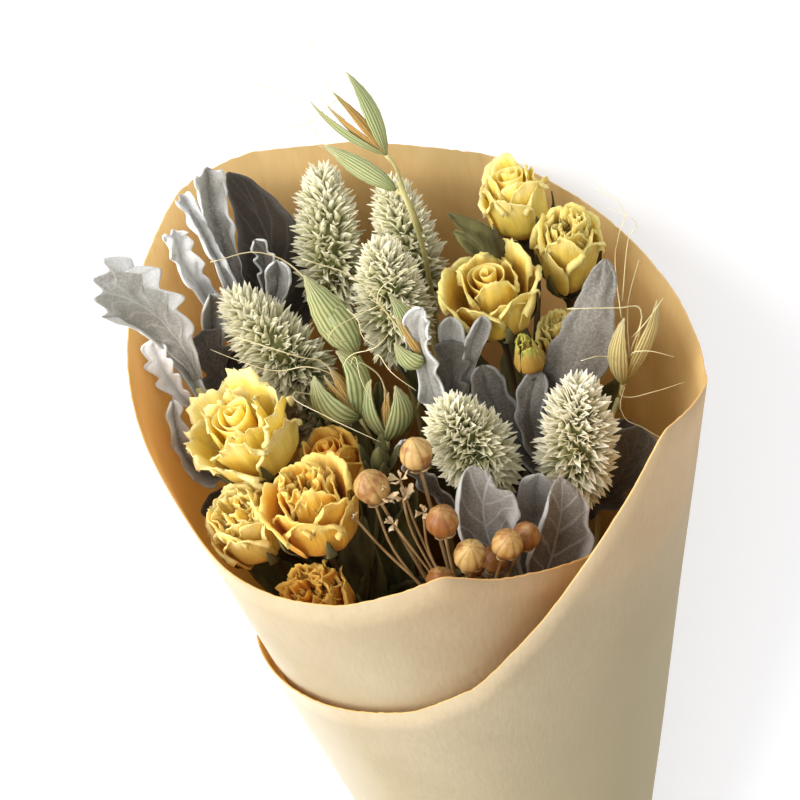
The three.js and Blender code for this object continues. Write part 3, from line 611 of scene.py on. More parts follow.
scaleTemplate = canaryScale()
for index, (name, head) in enumerate(canary["heads"].items()):
    base, tip = head["base"], head["tip"]
    mesh = canaryHead(scaleTemplate, lengthOf(base, tip), head["width"], index + 1)
    mesh.transform(standing(base, tip))
    finish = canaryCream if head.get("cream") else canaryGreen
    addPiece(f"{name}_head", [mesh], [finish, canaryCore], "canary_scale", name)
    above = [alongAxis(base, tip, -canary["strawStraight"]), alongAxis(base, tip, -bundle["seat"])]
    line = stemLine(head["slot"], above, canary["strawRadius"])
    addPiece(f"{name}_stalk", [tubes([line])], [straw], "straw", f"{name}_straw")
print("canary grass done")

# Spray roses: crumpled hearts in cups of papery petals with thin, curled edges
roses = {
    "stemRadius": 1.4, "pedicelRadius": 0.85, "calyxRadius": 2.6, "petalThickness": 0.16,
    "curl": 0.8, "veins": "#e0a23c", "through": "#fff6b4", "sepalThickness": 0.35, "leafThickness": 0.3,
    "leafWidths": (6, 8.5), "ruffles": 17, "budWidth": 12, "sepalLeafWidth": 2.4, "budCalyx": 6.5,
    "glow": 0.4,
    "sprays": {
        "rose_spray_left": {
            "slot": 14, "fork": (-27, -12, 244),
            "leaves": [(-12, 2, 276), (-46, 6, 276), (-18, -32, 266), (-42, -26, 262), (-14, 14, 266),
                       (-33, 12, 276), (-56, -4, 288), (-4, -18, 268), (-20, -10, 282), (4, -26, 272),
                       (-6, -8, 286), (-30, 22, 284), (-8, -34, 276), (-54, -14, 282), (-10, 19, 302),
                       (-16, 14, 298)],
            "bud": {"base": (-13.8, -13, 299), "tip": (-12.3, -15.5, 312)},
            "blooms": {
                "rose_1": {"base": (-42, 0, 296), "tip": (-48, -3, 321), "width": 26, "open": 0.55,
                           "petals": 5, "tone": "lemon", "jag": 3.6, "spread": 0.2, "turn": 20,
                           "crumple": 1.5},
                "rose_2": {"base": (-45.3, -16.8, 283), "tip": (-51.8, -21.4, 305), "width": 21,
                           "open": 0.4, "petals": 5, "tone": "sun", "heart": "ruffle", "crumple": 0.8,
                           "turn": 50},
                "rose_3": {"base": (-30, -28, 291), "tip": (-32, -30, 316), "width": 24, "open": 0.5,
                           "petals": 5, "tone": "gold", "heart": "ruffle", "jag": 1, "spread": 0.1,
                           "turn": 54},
                "rose_4": {"base": (-24, 0, 279), "tip": (-27, -2, 304), "width": 19, "open": 0.3,
                           "petals": 4, "tone": "ochre", "turn": 10},
                "rose_5": {"base": (-32, -31.5, 268), "tip": (-37, -37.3, 288.5), "width": 20, "open": 0.6,
                           "petals": 5, "tone": "ochre", "heart": "ruffle", "jag": 1.5, "crumple": 1.6,
                           "turn": 0},
            },
        },
        "rose_spray_right": {
            "slot": 8, "fork": (25, 14, 264),
            "leaves": [(8, 22, 292), (46, 30, 294), (14, 0, 284), (44, 4, 286), (2, 8, 278), (52, 16, 290),
                       (20, -10, 276), (42, -14, 278), (50, -4, 288), (34, -20, 272), (-4, 2, 284),
                       (30, 34, 306), (12, 34, 300), (-4, 22, 305), (4, 14, 296)],
            "sepals": [((28.4, 27, 328), (23.6, 24.3, 337), (15.5, 24, 346)),
                       ((28.5, 28, 324), (22.4, 28, 331), (16.5, 31, 336))],
            "blooms": {
                "rose_6": {"base": (36, 45, 320), "tip": (33, 45, 344), "width": 20, "open": 0.3,
                           "petals": 4, "tone": "lemon", "turn": 70},
                "rose_7": {"base": (24, 20, 310), "tip": (22, 16, 334), "width": 24, "open": 0.8,
                           "petals": 5, "tone": "butter", "spread": 0.14, "turn": 54},
                "rose_8": {"base": (44, 30, 311), "tip": (45, 24, 339), "width": 17, "open": 0.5,
                           "petals": 4, "tone": "butter", "heart": "ruffle", "turn": 30},
                "rose_9": {"base": (29, 6, 306), "tip": (28, 2, 322), "width": 10.5, "open": 0, "petals": 4,
                           "tone": "green", "jag": 0.2, "crumple": 1.4},
                "rose_10": {"base": (40, 16, 296), "tip": (39, 13, 315), "width": 16, "open": 0.3,
                            "petals": 4, "tone": "butter", "heart": "ruffle", "crumple": 1.5},
            },
        },
    },
    "tones": {
        "lemon": [(0, "#f0a63c"), (0.3, "#fce45a"), (0.7, "#fef286"), (1, "#fff7b6")],
        "sun": [(0, "#fabc50"), (0.3, "#fedd64"), (0.7, "#ffec84"), (1, "#fff6b4")],
        "gold": [(0, "#d47420"), (0.3, "#e6a830"), (0.7, "#f0c850"), (1, "#f9e68c")],
        "butter": [(0, "#d28f36"), (0.3, "#e3be46"), (0.7, "#eed868"), (1, "#f6eda0")],
        "ochre": [(0, "#c0640e"), (0.3, "#e69a24"), (0.7, "#f4bc3e"), (1, "#fada72")],
        "green": [(0, "#a06a2c"), (0.4, "#d2a348"), (0.8, "#dcc064"), (1, "#cfce6a")],
    },
}


def petalFinish(name, stops):
    finish = Finish(f"rose_petal_{name}", roughness=0.85, sheen=0.1, specular=0.15)
    side, along = finish.sideways()
    edge = finish.larger(finish.reckon("POWER", side, 10), finish.reckon("POWER", along, 12))
    veins = finish.noise(1, 3, finish.stretched(finish.uv(), (30, 2.5, 1)))
    mottle = finish.noise(260, 4)
    tone = finish.plus(along, finish.times(finish.minus(mottle, 0.5), 0.7))
    heart = finish.attribute("heart")
    tone = finish.minus(tone, finish.times(heart, 0.45))
    tone = finish.plus(tone, finish.times(edge, 0.4))
    colour = finish.ramp(tone, stops)
    colour = finish.mix(finish.spread(veins, 0.42, 0.7, 0, 0.15), colour, roses["veins"], "MULTIPLY")
    finish.colour(colour)
    finish.bump(finish.plus(veins, mottle), 0.0006, 0.5)
    return finish.glow(finish.mix(1, colour, roses["through"], "MULTIPLY"), roses["glow"]).material


petalFinishes = {name: petalFinish(name, stops) for name, stops in roses["tones"].items()}


def petalShape(facing, half, inner, outer, height, spread, rolled, jag, crumple, seed):
    # One petal of a cup: it bulges low, stands up, and curls out beyond a line across its top corners
    lean = between(-0.35, 0.35, seed * 3.1)

    def plain(u, v):
        rise = swelling(v, 0.38)
        taper = 0.3 + 0.7 * swelling(v, 0.45) - 0.22 * max(0, v - 0.55)
        angle = math.radians(facing + u * half * taper) + 0.22 * wobble(v * 1.6, seed, 3) * v
        radius = inner + (outer - inner) * rise + spread * height * max(0, v - 0.3)
        radius -= 0.1 * outer * math.cos(u * 2.2 + lean) * max(0, v - 0.5)
        radius += 0.07 * outer * u * (0.3 + v)
        dents = wobble(u * 1.6, v * 1.5, seed * 2.1) + 0.5 * wobble(u * 4.5, v * 2.5, seed)
        radius += crumple * (0.15 + 0.85 * v) * dents
        z = height * (0.02 + 0.98 * v) - 0.2 * height * abs(u) ** 2.6 * v ** 1.5
        # Fine crinkles towards the edge
        radius += 0.75 * crumple * v * v * wobble(u * 6.5, v * 4, seed * 1.3)
        z += crumple * v * (0.8 * wobble(u * 1.8, seed, 7) + 0.5 * v * wobble(u * 6, seed, 3))
        return around(radius, angle, z)

    def shape(u, v):
        beyond = v - 1.0 + 0.1 * abs(u + 0.3 * lean) ** 1.6 + rolled + 0.06 * wobble(u * 2, seed, 4)
        if beyond <= 0:
            return plain(u, v)
        below = max(0.0, v - beyond)
        root = plain(u, below)
        step = plain(u, min(1, below + 0.04)) - plain(u, max(0, below - 0.04))
        rising = step.normalized()
        sideways = math.copysign(0.45, u) * min(1, abs(u) * 2)
        across = plain(min(1, u + 0.08), below) - plain(max(-1, u - 0.08), below)
        rising = (rising + across.normalized() * sideways).normalized()
        outward = across.cross(rising).normalized()
        if outward.dot(Vector((root.x, root.y, 0))) < 0:
            outward = -outward
        travel = beyond * height
        curl = roses["curl"] * (1 + 0.6 * wobble(seed, u, 9))
        angle = min(travel / curl, math.radians(165))
        rest = travel - angle * curl
        place = root + rising * (curl * math.sin(angle) + rest * math.cos(angle))
        place += outward * (curl * (1 - math.cos(angle)) + rest * math.sin(angle))
        ragged = jag * v ** 10 * (wobble(u * 5, seed, 1) + 0.5 * wobble(u * 11, seed, 2))
        return place + rising * ragged

    return shape


def heartShape(radius, height, crumple, seed):
    # A long petal rolled up into a spiral
    turns = 2.6

    def shape(u, v):
        share = (u + 1) / 2
        angle = 2 * math.pi * turns * share + seed
        reach = radius * (0.1 + 0.9 * share ** 0.85) * (0.5 + 0.5 * swelling(v, 0.6))
        flare = 0.16 * radius * max(0, v - 0.75) / 0.25 * share
        reach += crumple * v * wobble(share * 11, v * 2, seed) + flare
        z = height * (0.2 + 0.8 * v * (1 - 0.12 * share)) + 1.5 * crumple * v * wobble(share * 9, seed, 2)
        return around(reach, angle, z)

    return shape


def bloomMesh(length, bloom, seed):
    # Two whorls of cupped petals, a third of four close ones, and a ruffled or rolled heart
    reach, openness, count = bloom["width"] / 2, bloom["open"], bloom["petals"]
    crumple = 0.07 * reach * bloom.get("crumple", 1)
    jag, extra = bloom.get("jag", 0.7), bloom.get("spread", 0.03)
    turn = bloom.get("turn", 0)
    whorls = [
        {"count": count, "outer": 0.76, "height": 0.8, "spread": extra + 0.1 * openness,
         "half": 300 / count, "rolled": 0.06, "turn": turn, "heart": 0},
        {"count": count, "outer": 0.66, "height": 0.92, "spread": extra + 0.05 * openness,
         "half": 270 / count, "rolled": 0.03, "turn": turn + 36, "heart": 0.2},
        {"count": 4, "outer": 0.52, "height": 0.97, "spread": 0.06 * openness,
         "half": 70, "rolled": 0, "turn": 10, "heart": 0.45},
    ]
    closed = bloom["width"] < roses["budWidth"]
    if closed:
        whorls = [{**whorl, "rolled": 0, "spread": -0.32, "half": 72} for whorl in (whorls[0], whorls[2])]
    bm = bmesh.new()
    for ring, whorl in enumerate(whorls):
        for k in range(whorl["count"]):
            mark = seed * 37 + ring * 11 + k
            shape = petalShape(
                facing=360 * k / whorl["count"] + whorl["turn"] + between(-10, 10, mark),
                half=whorl["half"] * 0.72, inner=0.12 * reach,
                outer=whorl["outer"] * reach * between(0.94, 1.04, mark + 3),
                height=whorl["height"] * length * between(0.88, 1.06, mark + 5),
                spread=whorl["spread"] * between(0.4, 1.6, mark + 8),
                rolled=whorl["rolled"] * between(0.3, 1.4, mark + 9),
                jag=jag, crumple=crumple, seed=mark * 0.37,
            )
            addSheet(bm, 16, 18, shape, chance(mark + 2), whorl["heart"])
    if bloom.get("heart") == "ruffle":
        for k in range(roses["ruffles"]):
            mark = seed * 53 + k
            share = 0.5 - 0.024 * k
            shape = petalShape(
                facing=137.5 * k, half=between(34, 50, mark) * (1 + 0.03 * k), inner=0.06 * reach,
                outer=share * reach, height=length * between(0.82, 1.0, mark + 1), spread=0.04, rolled=0,
                jag=1.2, crumple=2.6 * crumple, seed=mark * 0.41,
            )
            addSheet(bm, 12, 12, shape, chance(mark + 2), 0.5 + 0.03 * k)
    elif not closed:
        addSheet(bm, 60, 8, heartShape(0.4 * reach, 0.93 * length, crumple, seed), 0.5, 0.9)
    return thickened(meshFrom(bm), roses["petalThickness"])


def sepalMesh(base, tip, width, seed):
    # Five pointed sepals round the foot of a bloom
    length = lengthOf(base, tip)
    bm = bmesh.new()
    for k in range(5):
        turn = math.radians(72 * k + between(-10, 10, seed + k))

        def shape(u, v, turn=turn, k=k):
            half = 1.5 * math.sin(math.pi * min(1, 0.25 + 0.75 * v)) ** 0.8 + 0.05
            flare = 1.6 * max(0, v - 0.6) * chance(seed + k)
            radius = 2.2 + 0.36 * width * swelling(v, 0.7) + flare
            angle = turn + u * half / radius
            height = 0.5 * length * v - 0.6 + 0.5 * u * u
            return around(radius, angle, height)

        addSheet(bm, 3, 8, shape, material=1)
    mesh = thickened(meshFrom(bm), roses["sepalThickness"])
    mesh.transform(standing(base, tip))
    return mesh


# Dark olive-brown finish for the dry rose leaves, sepals and bud stalk; its darkness also paints the shade
# in the gaps between the blooms, where many of the leaves sit
dryLeaf = barkFinish("rose_leaf_dry", "#6c6a40", "#3a3320", 0.85)


def roseLeaf(spine, width, seed):
    # A dry leaf with a toothed edge, folded along its midrib and twisted
    at = spinePath(spine)
    face = Vector((between(-0.6, 0.6, seed), -1, 0.6))

    def shape(u, v):
        place, along = at(v)
        side = along.cross(face).normalized()
        out = side.cross(along).normalized()
        teeth = 1 + 0.07 * math.sin(60 * v)
        half = width * math.sin(math.pi * min(0.99, 0.06 + 0.94 * v)) ** 0.8 * teeth + 0.3
        lift = 0.45 * half * abs(u) + 1.6 * wobble(u * 1.5, v * 3, seed) + 0.3 * wobble(u * 5, v * 9, seed)
        return place + side * u * half + out * lift

    return sheetMesh(8, 24, shape, roses["leafThickness"], material=1)


bloomSeed = 0
for sprayName, spray in roses["sprays"].items():
    fork = spray["fork"]
    bundleEnd = (*slotPlace(spray["slot"]), lying["bundleTop"])
    lines = [stemLine(spray["slot"], [fork], roses["stemRadius"])]
    sepals = []
    for name, bloom in spray["blooms"].items():
        bloomSeed += 1
        base, tip = bloom["base"], bloom["tip"]
        mesh = bloomMesh(lengthOf(base, tip), bloom, bloomSeed)
        mesh.transform(standing(base, tip))
        addPiece(f"{name}_bloom", [mesh], [petalFinishes[bloom["tone"]]], "rose_petal", name)
        thin, wide = roses["pedicelRadius"], roses["calyxRadius"]
        start = alongAxis(fork, bundleEnd, 3)
        lines.append(eased([
            (*start, thin), (*alongAxis(base, tip, -14), thin), (*alongAxis(base, tip, -4.5), thin),
            (*alongAxis(base, tip, -2.5), 0.8 * wide), (*alongAxis(base, tip, -0.3), wide),
        ], 5))
        if bloom["width"] > roses["budWidth"]:
            sepals.append(sepalMesh(base, tip, bloom["width"], bloomSeed * 9))
    dry = []
    if "bud" in spray:
        base, tip = spray["bud"]["base"], spray["bud"]["tip"]
        shape = [(-12, 0.7), (-1, 0.8), (0, 1.6), (3, 2.3), (6, 2), (9, 0.3)]  # place along the bud, radius
        line = [(*alongAxis(base, tip, place), radius) for place, radius in shape]
        dry.append(tubes([eased([(*fork, 0.7), *line], 3)], material=1))
        sepals.append(sepalMesh(base, alongAxis(base, tip, 17), roses["budCalyx"], 3))
    for k, end in enumerate(spray["leaves"]):
        middle = (Vector(fork) * 0.55 + Vector(end) * 0.45) + Vector((0, 4, -4))
        dry.append(roseLeaf((fork, middle, end), between(*roses["leafWidths"], k), k + bloomSeed))
    for k, spine in enumerate(spray.get("sepals", [])):
        dry.append(roseLeaf(spine, roses["sepalLeafWidth"], k + 50))
    parts = [tubes(lines), *sepals, *dry]
    addPiece(f"{sprayName}_stems", parts, [brownStem, dryLeaf], "rose_stem", sprayName)
print("roses done")

# Silver ragwort: felted lobed leaves with thick, pale, curled margins
def leaf(kind, width, cup, tone, face, *spine, **finer):
    # Kind, half width, cupping, paleness, the way it faces, and its foot, middle and tip. The darkest tones
    # are painted shade, for leaves deep in the bunch and in its dark gaps.
    return {**finer, "kind": kind, "width": width, "cup": cup, "tone": tone, "face": face, "spine": spine}


ragwort = {
    "thickness": 0.7, "columns": 14, "rows": 30, "curl": 0.85, "curlTurn": 190, "stalkFoot": 1.3,
    "stalkTip": 0.9, "faintVeins": 0.12,
    # Felt greys by tone; the dark end is painted shade
    "greys": [(0, "#352b22"), (0.25, "#5e584e"), (0.6, "#a5a49e"), (1, "#eff0f0")],
    "blotTint": "#7b7366", "hollowShadeTint": "#5c564d", "veinTint": "#d6d8d8", "woolTint": "#dcdcda",
    "plainLeaf": {"roll": (0, 0), "flat": 0.62, "dusk": 0.3, "crumple": 1, "lump": 0, "ruffle": 0,
                  "veins": 0},
    "kinds": {
        "lobed": {"widths": [0.12, 0.14, 0.55, 0.36, 0.85, 0.44, 1, 0.5, 0.8, 0.3],
                  "shifts": [0, 0, 1.6, 0, 2, 0, 2, 0, 1.2, 0]},
        "smooth": {"widths": [0.3, 0.35, 0.5, 0.66, 0.85, 1, 0.97, 0.75, 0.45]},
        "blade": {"widths": [0.5, 0.8, 1, 1, 0.92, 0.78, 0.6, 0.4, 0.2]},
        "finger": {"widths": [0.5, 0.45, 0.5, 0.62, 0.85, 1, 0.95, 0.8]},
        "strap": {"widths": [0.4, 0.6, 0.8, 0.7, 1, 0.8, 1, 0.8, 0.7],
                  "shifts": [0, 0, 1, 0, 1, 0, 1, 0, 0]},
        "torn": {"widths": [0.5, 0.55, 0.7, 0.62, 0.85, 0.72, 0.95, 0.85, 1],
                 "shifts": [0, 0, 0, 1, 0, 0, 0, 0, 0], "top": [0.93, 0.99, 0.95, 1, 0.96, 0.98, 0.9]},
        "ribbon": {"widths": [0.5, 0.7, 0.9, 0.75, 1, 0.7, 0.95, 0.8, 0.55],
                   "shifts": [0, 1, 0, 1, 0, 1, 0, 1, 0]},
        "fan": {"widths": [0.14, 0.2, 0.5, 0.62, 0.75, 0.8, 0.9, 0.9, 0.85],
                "far": [0.14, 0.2, 0.3, 0.38, 0.62, 0.5, 0.95, 0.6, 1.12, 0.66, 1],
                "shifts": [0, 0, 1.5, 0, 2.5, 0, 2, 0, -1],
                "top": [0.78, 0.95, 0.84, 1, 0.87, 1, 0.88, 0.98, 0.84]},
        "mitten": {"widths": [0.3, 0.35, 0.5, 0.72, 0.88, 0.95, 1, 1, 0.95],
                   "far": [0.3, 0.35, 0.5, 0.66, 0.8, 0.78, 0.9, 1.05, 0.95],
                   "shifts": [0, 0, 1, 0, 1, 0, 0, 0, 0],
                   "top": [0.84, 0.97, 1, 0.985, 1, 0.93, 0.9, 0.97, 0.98, 0.84]},
        "mitre": {"widths": [0.3, 0.4, 0.6, 0.9, 0.95, 0.8, 0.72, 0.6, 0.5],
                  "far": [0.3, 0.45, 0.8, 1.05, 0.85, 0.95, 0.7, 0.7, 0.45],
                  "shifts": [0, 0, 1, 2, 0, 1, 0, 0, 0], "top": [0.86, 0.94, 1, 1, 0.97, 0.93, 0.88]},
    },
    "stems": {
        "ragwort_back": {"slot": 12, "stem": [(-38, 31, 262), (-42, 40, 292), (-42, 44, 312)], "leaves": [
            leaf("torn", 5.6, 0.3, 0.72, (0.4, -1, 0.3), (-41, 47, 312), (-43.9, 47.6, 341),
                 (-42.2, 42.5, 361.5), roll=(1, 1), dusk=1, crumple=3.2, lump=0.5),
            leaf("torn", 3.2, 0.3, 1.0, (0.5, -1, 0.2), (-42.5, 43, 314), (-46.5, 43, 338), (-51, 45, 354),
                 roll=(1, 1), flat=0.35, ruffle=0.5, dusk=0.1, crumple=3, lump=0.8),
            leaf("torn", 4.4, 0.4, 1.0, (0.8, -1, 0.2), (-45, 42, 306), (-53.3, 41, 333),
                 (-54.3, 41.5, 346), roll=(0.6, 0.6), ruffle=0.5, dusk=0.3, crumple=3, lump=0.8),
            # A near-black leaf, dark with painted shade, behind the tall leaves
            leaf("blade", 11, 0.15, 0.03, (0.2, -1, 0.5), (-38, 45, 300), (-31.5, 54, 324),
                 (-38.5, 54, 352), dusk=0.4),
            leaf("lobed", 3.4, 0.5, 0.2, (0.1, -1, 0.4), (-39, 46, 308), (-34, 49, 322), (-35, 48, 334),
                 roll=(0.7, 0.7)),
            leaf("finger", 4.2, 0.7, 0.5, (-0.2, -1, 0.4), (-41, 44, 302), (-32, 46, 318), (-30, 41, 331),
                 roll=(1, 0.8), dusk=0.7),
            leaf("lobed", 6, 0.3, 0.15, (0.4, -1, 0.4), (-42, 42, 296), (-39, 40, 310), (-40, 38, 324)),
        ]},
        "ragwort_left": {"slot": 13, "stem": [(-50, 15, 284), (-56, 18, 312)], "leaves": [
            leaf("fan", 10.5, 0.2, 0.56, (-0.3, -1, 0.8), (-56, 22, 312), (-61.5, 17, 338), (-75, 8, 355),
                 veins=0.9, roll=(0.9, 0.1), crumple=1.8),
            leaf("lobed", 4.8, 0.4, 1.0, (-0.2, -1, 0.6), (-57, 17, 304), (-62.8, 19, 316),
                 (-64, 20.5, 328), roll=(0.6, 0.6)),
            leaf("finger", 4, 0.6, 0.75, (0.4, -1, 0.4), (-55, 19, 304), (-58.5, 24, 316), (-59, 22, 328),
                 roll=(0.8, 0.8)),
            leaf("ribbon", 3.4, 0.4, 0.9, (0.7, -1, 0.4), (-51, 15, 284), (-62, 10, 294),
                 (-62.5, 12.5, 314), roll=(1, 1), ruffle=1, lump=0.9),
            leaf("finger", 3.8, 0.8, 0.6, (0.3, -1, 0.5), (-52, 18, 296), (-51, 38, 312), (-48.3, 33, 330),
                 roll=(1, 0.6), dusk=0.6),
            leaf("lobed", 6, 0.2, 0.1, (0.3, -1, 0.5), (-51, 20, 292), (-51.5, 29, 306), (-53, 34.5, 318)),
            leaf("smooth", 10, 0.2, 0.0, (0.2, -1, 0.6), (-46, 14, 270), (-45, 28, 290), (-45, 34, 310)),
            leaf("lobed", 6, 0.2, 0.15, (0.4, -0.6, 0.8), (-50, 12, 268), (-57, 4, 278), (-58, -1, 292)),
        ]},
        "ragwort_middle": {"slot": 0, "stem": [(6.5, 5, 268), (7, 3, 296)], "leaves": [
            leaf("ribbon", 4.6, 0.5, 0.55, (-0.7, -1, 0.4), (6, 4, 292), (2.6, 4.2, 319), (4.5, 1.7, 335),
                 roll=(1, 0.3), ruffle=1.1, crumple=1.4, lump=0.7),
            leaf("lobed", 5.5, 0.3, 0.15, (0, -1, 0.4), (6.5, 5, 288), (8, 7, 306), (10, 6.5, 320)),
            leaf("finger", 3.6, 0.4, 0.46, (-0.2, -1, 0.4), (7, 8, 296), (10, 8.5, 314), (11, 5.5, 328),
                 roll=(0.4, 0.4)),
            leaf("finger", 3.4, 0.4, 0.38, (0.4, -1, 0.4), (8, 7, 294), (14, 8.6, 312), (18.4, 4.6, 327),
                 roll=(0.4, 0.4)),
            leaf("lobed", 4, 0.2, 0.55, (0, -1, 0.5), (6.5, 5, 262), (-3, -2, 284), (-6.6, -4, 300),
                 roll=(0.8, 0.8), dusk=0.6),
        ]},
        "ragwort_right": {"slot": 1, "stem": [(29, 4, 262), (31.5, 5, 288)], "leaves": [
            leaf("blade", 7.8, -0.4, 0.3, (-0.3, -1, 0.5), (31, 7, 285), (43, -1.5, 319.1), (50, -2, 341.6),
                 dusk=0.45, crumple=1.6, lump=0.25),
            leaf("lobed", 8, 0.2, 0.08, (-0.2, -1, 0.5), (29, 4, 258), (43.5, -10, 276), (53, -11.5, 296)),
            leaf("lobed", 5, 0.3, 0.12, (0.1, -1, 0.5), (29, 4, 260), (41, -7, 280), (46.5, -9, 295)),
            leaf("strap", 5.2, 0.3, 0.2, (0.1, -1, 0.6), (30, 4.5, 270), (20, 9, 292), (17, 8.5, 309),
                 roll=(0.3, 0.3)),
            leaf("strap", 4.4, 0.3, 0.3, (-0.1, -1, 0.6), (30.5, 4.5, 274), (27, 5, 292), (31.5, 3.5, 307),
                 roll=(0.3, 0.3)),
            leaf("smooth", 9, 0.2, 0.0, (0, -1, 0.5), (29, 4, 258), (22, 10, 270), (22, 14, 290)),
            leaf("lobed", 9, 0.2, 0.05, (-0.3, -1, 0.5), (29, 4, 256), (44, 2, 268), (52, 4, 286)),
        ]},
        "ragwort_front": {"slot": 17, "stem": [(15, -31, 254), (17, -34, 272)], "leaves": [
            leaf("mitten", 9.4, 0.25, 0.34, (-0.2, -1, 0.6), (16.5, -33, 262), (9.6, -30, 287),
                 (13.2, -34, 309), veins=0.7, roll=(0.7, 0.1), crumple=1.6, dusk=0.5),
            leaf("mitre", 9.8, 0.4, 0.28, (0.1, -1, 0.6), (17, -34, 262), (26, -34, 284), (29, -38, 307),
                 veins=0.7, roll=(0.5, 0.2), crumple=1.6, dusk=0.5),
            leaf("finger", 4.5, 0.4, 0.4, (0, -1, 0.6), (16, -32, 258), (21, -27, 284), (24.4, -30.5, 303),
                 dusk=0.5),
            leaf("lobed", 5, 0.3, 0.3, (0.4, -1, 0.3), (16, -32, 260), (31, -32, 274), (37, -38, 281)),
        ]},
    },
}


def feltFinish():
    finish = Finish("ragwort_felt", roughness=0.95, sheen=0.4, specular=0.1)
    side, along = finish.sideways()
    sweep = finish.minus(finish.times(along, 17), finish.times(side, 6))
    sweep = finish.plus(sweep, finish.spread(finish.noise(90, 2), 0, 1, -1.2, 1.2))
    branch = finish.reckon("POWER", finish.reckon("ABSOLUTE", finish.reckon("COSINE", sweep)), 40)
    midrib = finish.spread(side, 0, 0.06, 1, 0)
    veins = finish.times(finish.larger(finish.times(branch, 0.7), midrib), finish.attribute("heart"))
    wool = finish.noise(1500, 3)
    blotches = finish.noise(150, 3)
    grey = finish.ramp(finish.attribute("tone"), ragwort["greys"])
    wooly = finish.spread(finish.attribute("tone"), 0, 0.5)
    blots = finish.times(finish.spread(blotches, 0.4, 0.65, 0, 0.35), wooly)
    grey = finish.mix(blots, grey, ragwort["blotTint"])
    margin = finish.times(finish.spread(side, 0.7, 0.92), finish.attribute("rim"))
    # Painted shade in the hollow between two rolled margins
    bothRolled = finish.spread(finish.attribute("rim"), 1.2, 2)
    hollowShade = finish.times(finish.spread(side, 0.1, 0.6, 0.75, 0), bothRolled)
    grey = finish.mix(hollowShade, grey, ragwort["hollowShadeTint"])
    pale = finish.larger(finish.times(veins, 0.5), finish.times(margin, 0.75))
    colour = finish.mix(pale, grey, ragwort["veinTint"])
    fuzz = finish.times(finish.spread(wool, 0.4, 0.7, 0, 0.25), wooly)
    finish.colour(finish.mix(fuzz, colour, ragwort["woolTint"]))
    height = finish.plus(veins, finish.plus(wool, finish.times(blotches, 2)))
    return finish.bump(height, 0.0004, 0.5).material


felt = feltFinish()


def leafMesh(row, seed):
    plan = {**ragwort["plainLeaf"], **row}
    kind = ragwort["kinds"][plan["kind"]]
    near, top, shifts = kind["widths"], kind.get("top"), kind.get("shifts", [0, 0])
    far = kind.get("far", near)
    at = spinePath(plan["spine"])
    face = Vector(plan["face"])
    cup, flatShare, rolls, tone = plan["cup"], plan["flat"], plan["roll"], plan["tone"]

    def shape(u, v):
        place, along = at(v * smoothly(top, (u + 1) / 2) if top else v)
        side = along.cross(face).normalized()
        out = side.cross(along).normalized()
        closing = 1 if top else math.sqrt(max(0, 1 - max(0, (v - 0.9) / 0.105) ** 2))
        half = plan["width"] * smoothly(far if u > 0 else near, v) * closing
        reach = abs(u)
        hand = 1 if u > 0 else -1
        half *= 1 + plan["lump"] * wobble(v * 9, hand * 3.3, seed)
        # Beyond the flat share of the blade its margin rolls up
        curl = min(ragwort["curl"], 0.3 * half) + 0.01
        travel = max(0, reach - flatShare) * half
        turn = min(travel / curl, math.radians(ragwort["curlTurn"])) * rolls[u > 0]
        rest = travel - turn * curl
        across = min(reach, flatShare) * half + curl * math.sin(turn) + rest * math.cos(turn)
        lift = cup * half * min(reach, flatShare) ** 1.3
        lift = lift + curl * (1 - math.cos(turn)) + rest * math.sin(turn)
        # Crumples, ruffles, the midrib's groove and raised veins
        small = min(1, half / 3)
        dents = 0.8 * wobble(u * 1.4, v * 4, seed) * (0.3 + reach) + 0.4 * wobble(u * 3, v * 9, seed)
        lift += plan["crumple"] * small * dents
        lift += plan["ruffle"] * math.sin(v * 34 + hand) * reach ** 2 * small
        lift -= 0.4 * max(0, 1 - reach / 0.2) * small
        lift += 0.3 * plan["veins"] * abs(math.cos(17 * v - 6 * reach)) ** 10
        return place + side * across * hand + out * lift + along * smoothly(shifts, v) * reach

    bm = bmesh.new()
    rim = 0.1 + max(rolls) + (min(rolls) > 0.5)
    veins = plan["veins"] or ragwort["faintVeins"]
    made = addSheet(bm, ragwort["columns"], ragwort["rows"], shape, tone, veins, rim=rim)
    uv = bm.loops.layers.uv.active
    # Painted shade: the tone darkens towards the leaf's foot, deep in the bunch
    for vertex in made:
        along = vertex.link_loops[0][uv].uv.y
        vertex[bm.verts.layers.float["tone"]] = tone * (1 - plan["dusk"] * max(0, 1 - 1.5 * along))
    return rounded(thickened(meshFrom(bm), ragwort["thickness"]))


for index, (name, plant) in enumerate(ragwort["stems"].items()):
    line = stemLine(plant["slot"], plant["stem"], ragwort["stalkFoot"], ragwort["stalkTip"])
    stalk = tubes([line], material=1)
    leaves = [leafMesh(row, index * 10 + k) for k, row in enumerate(plant["leaves"])]
    addPiece(f"{name}_leaves", [*leaves, stalk], [felt, straw], "ragwort_felt", name)
print("ragwort done")

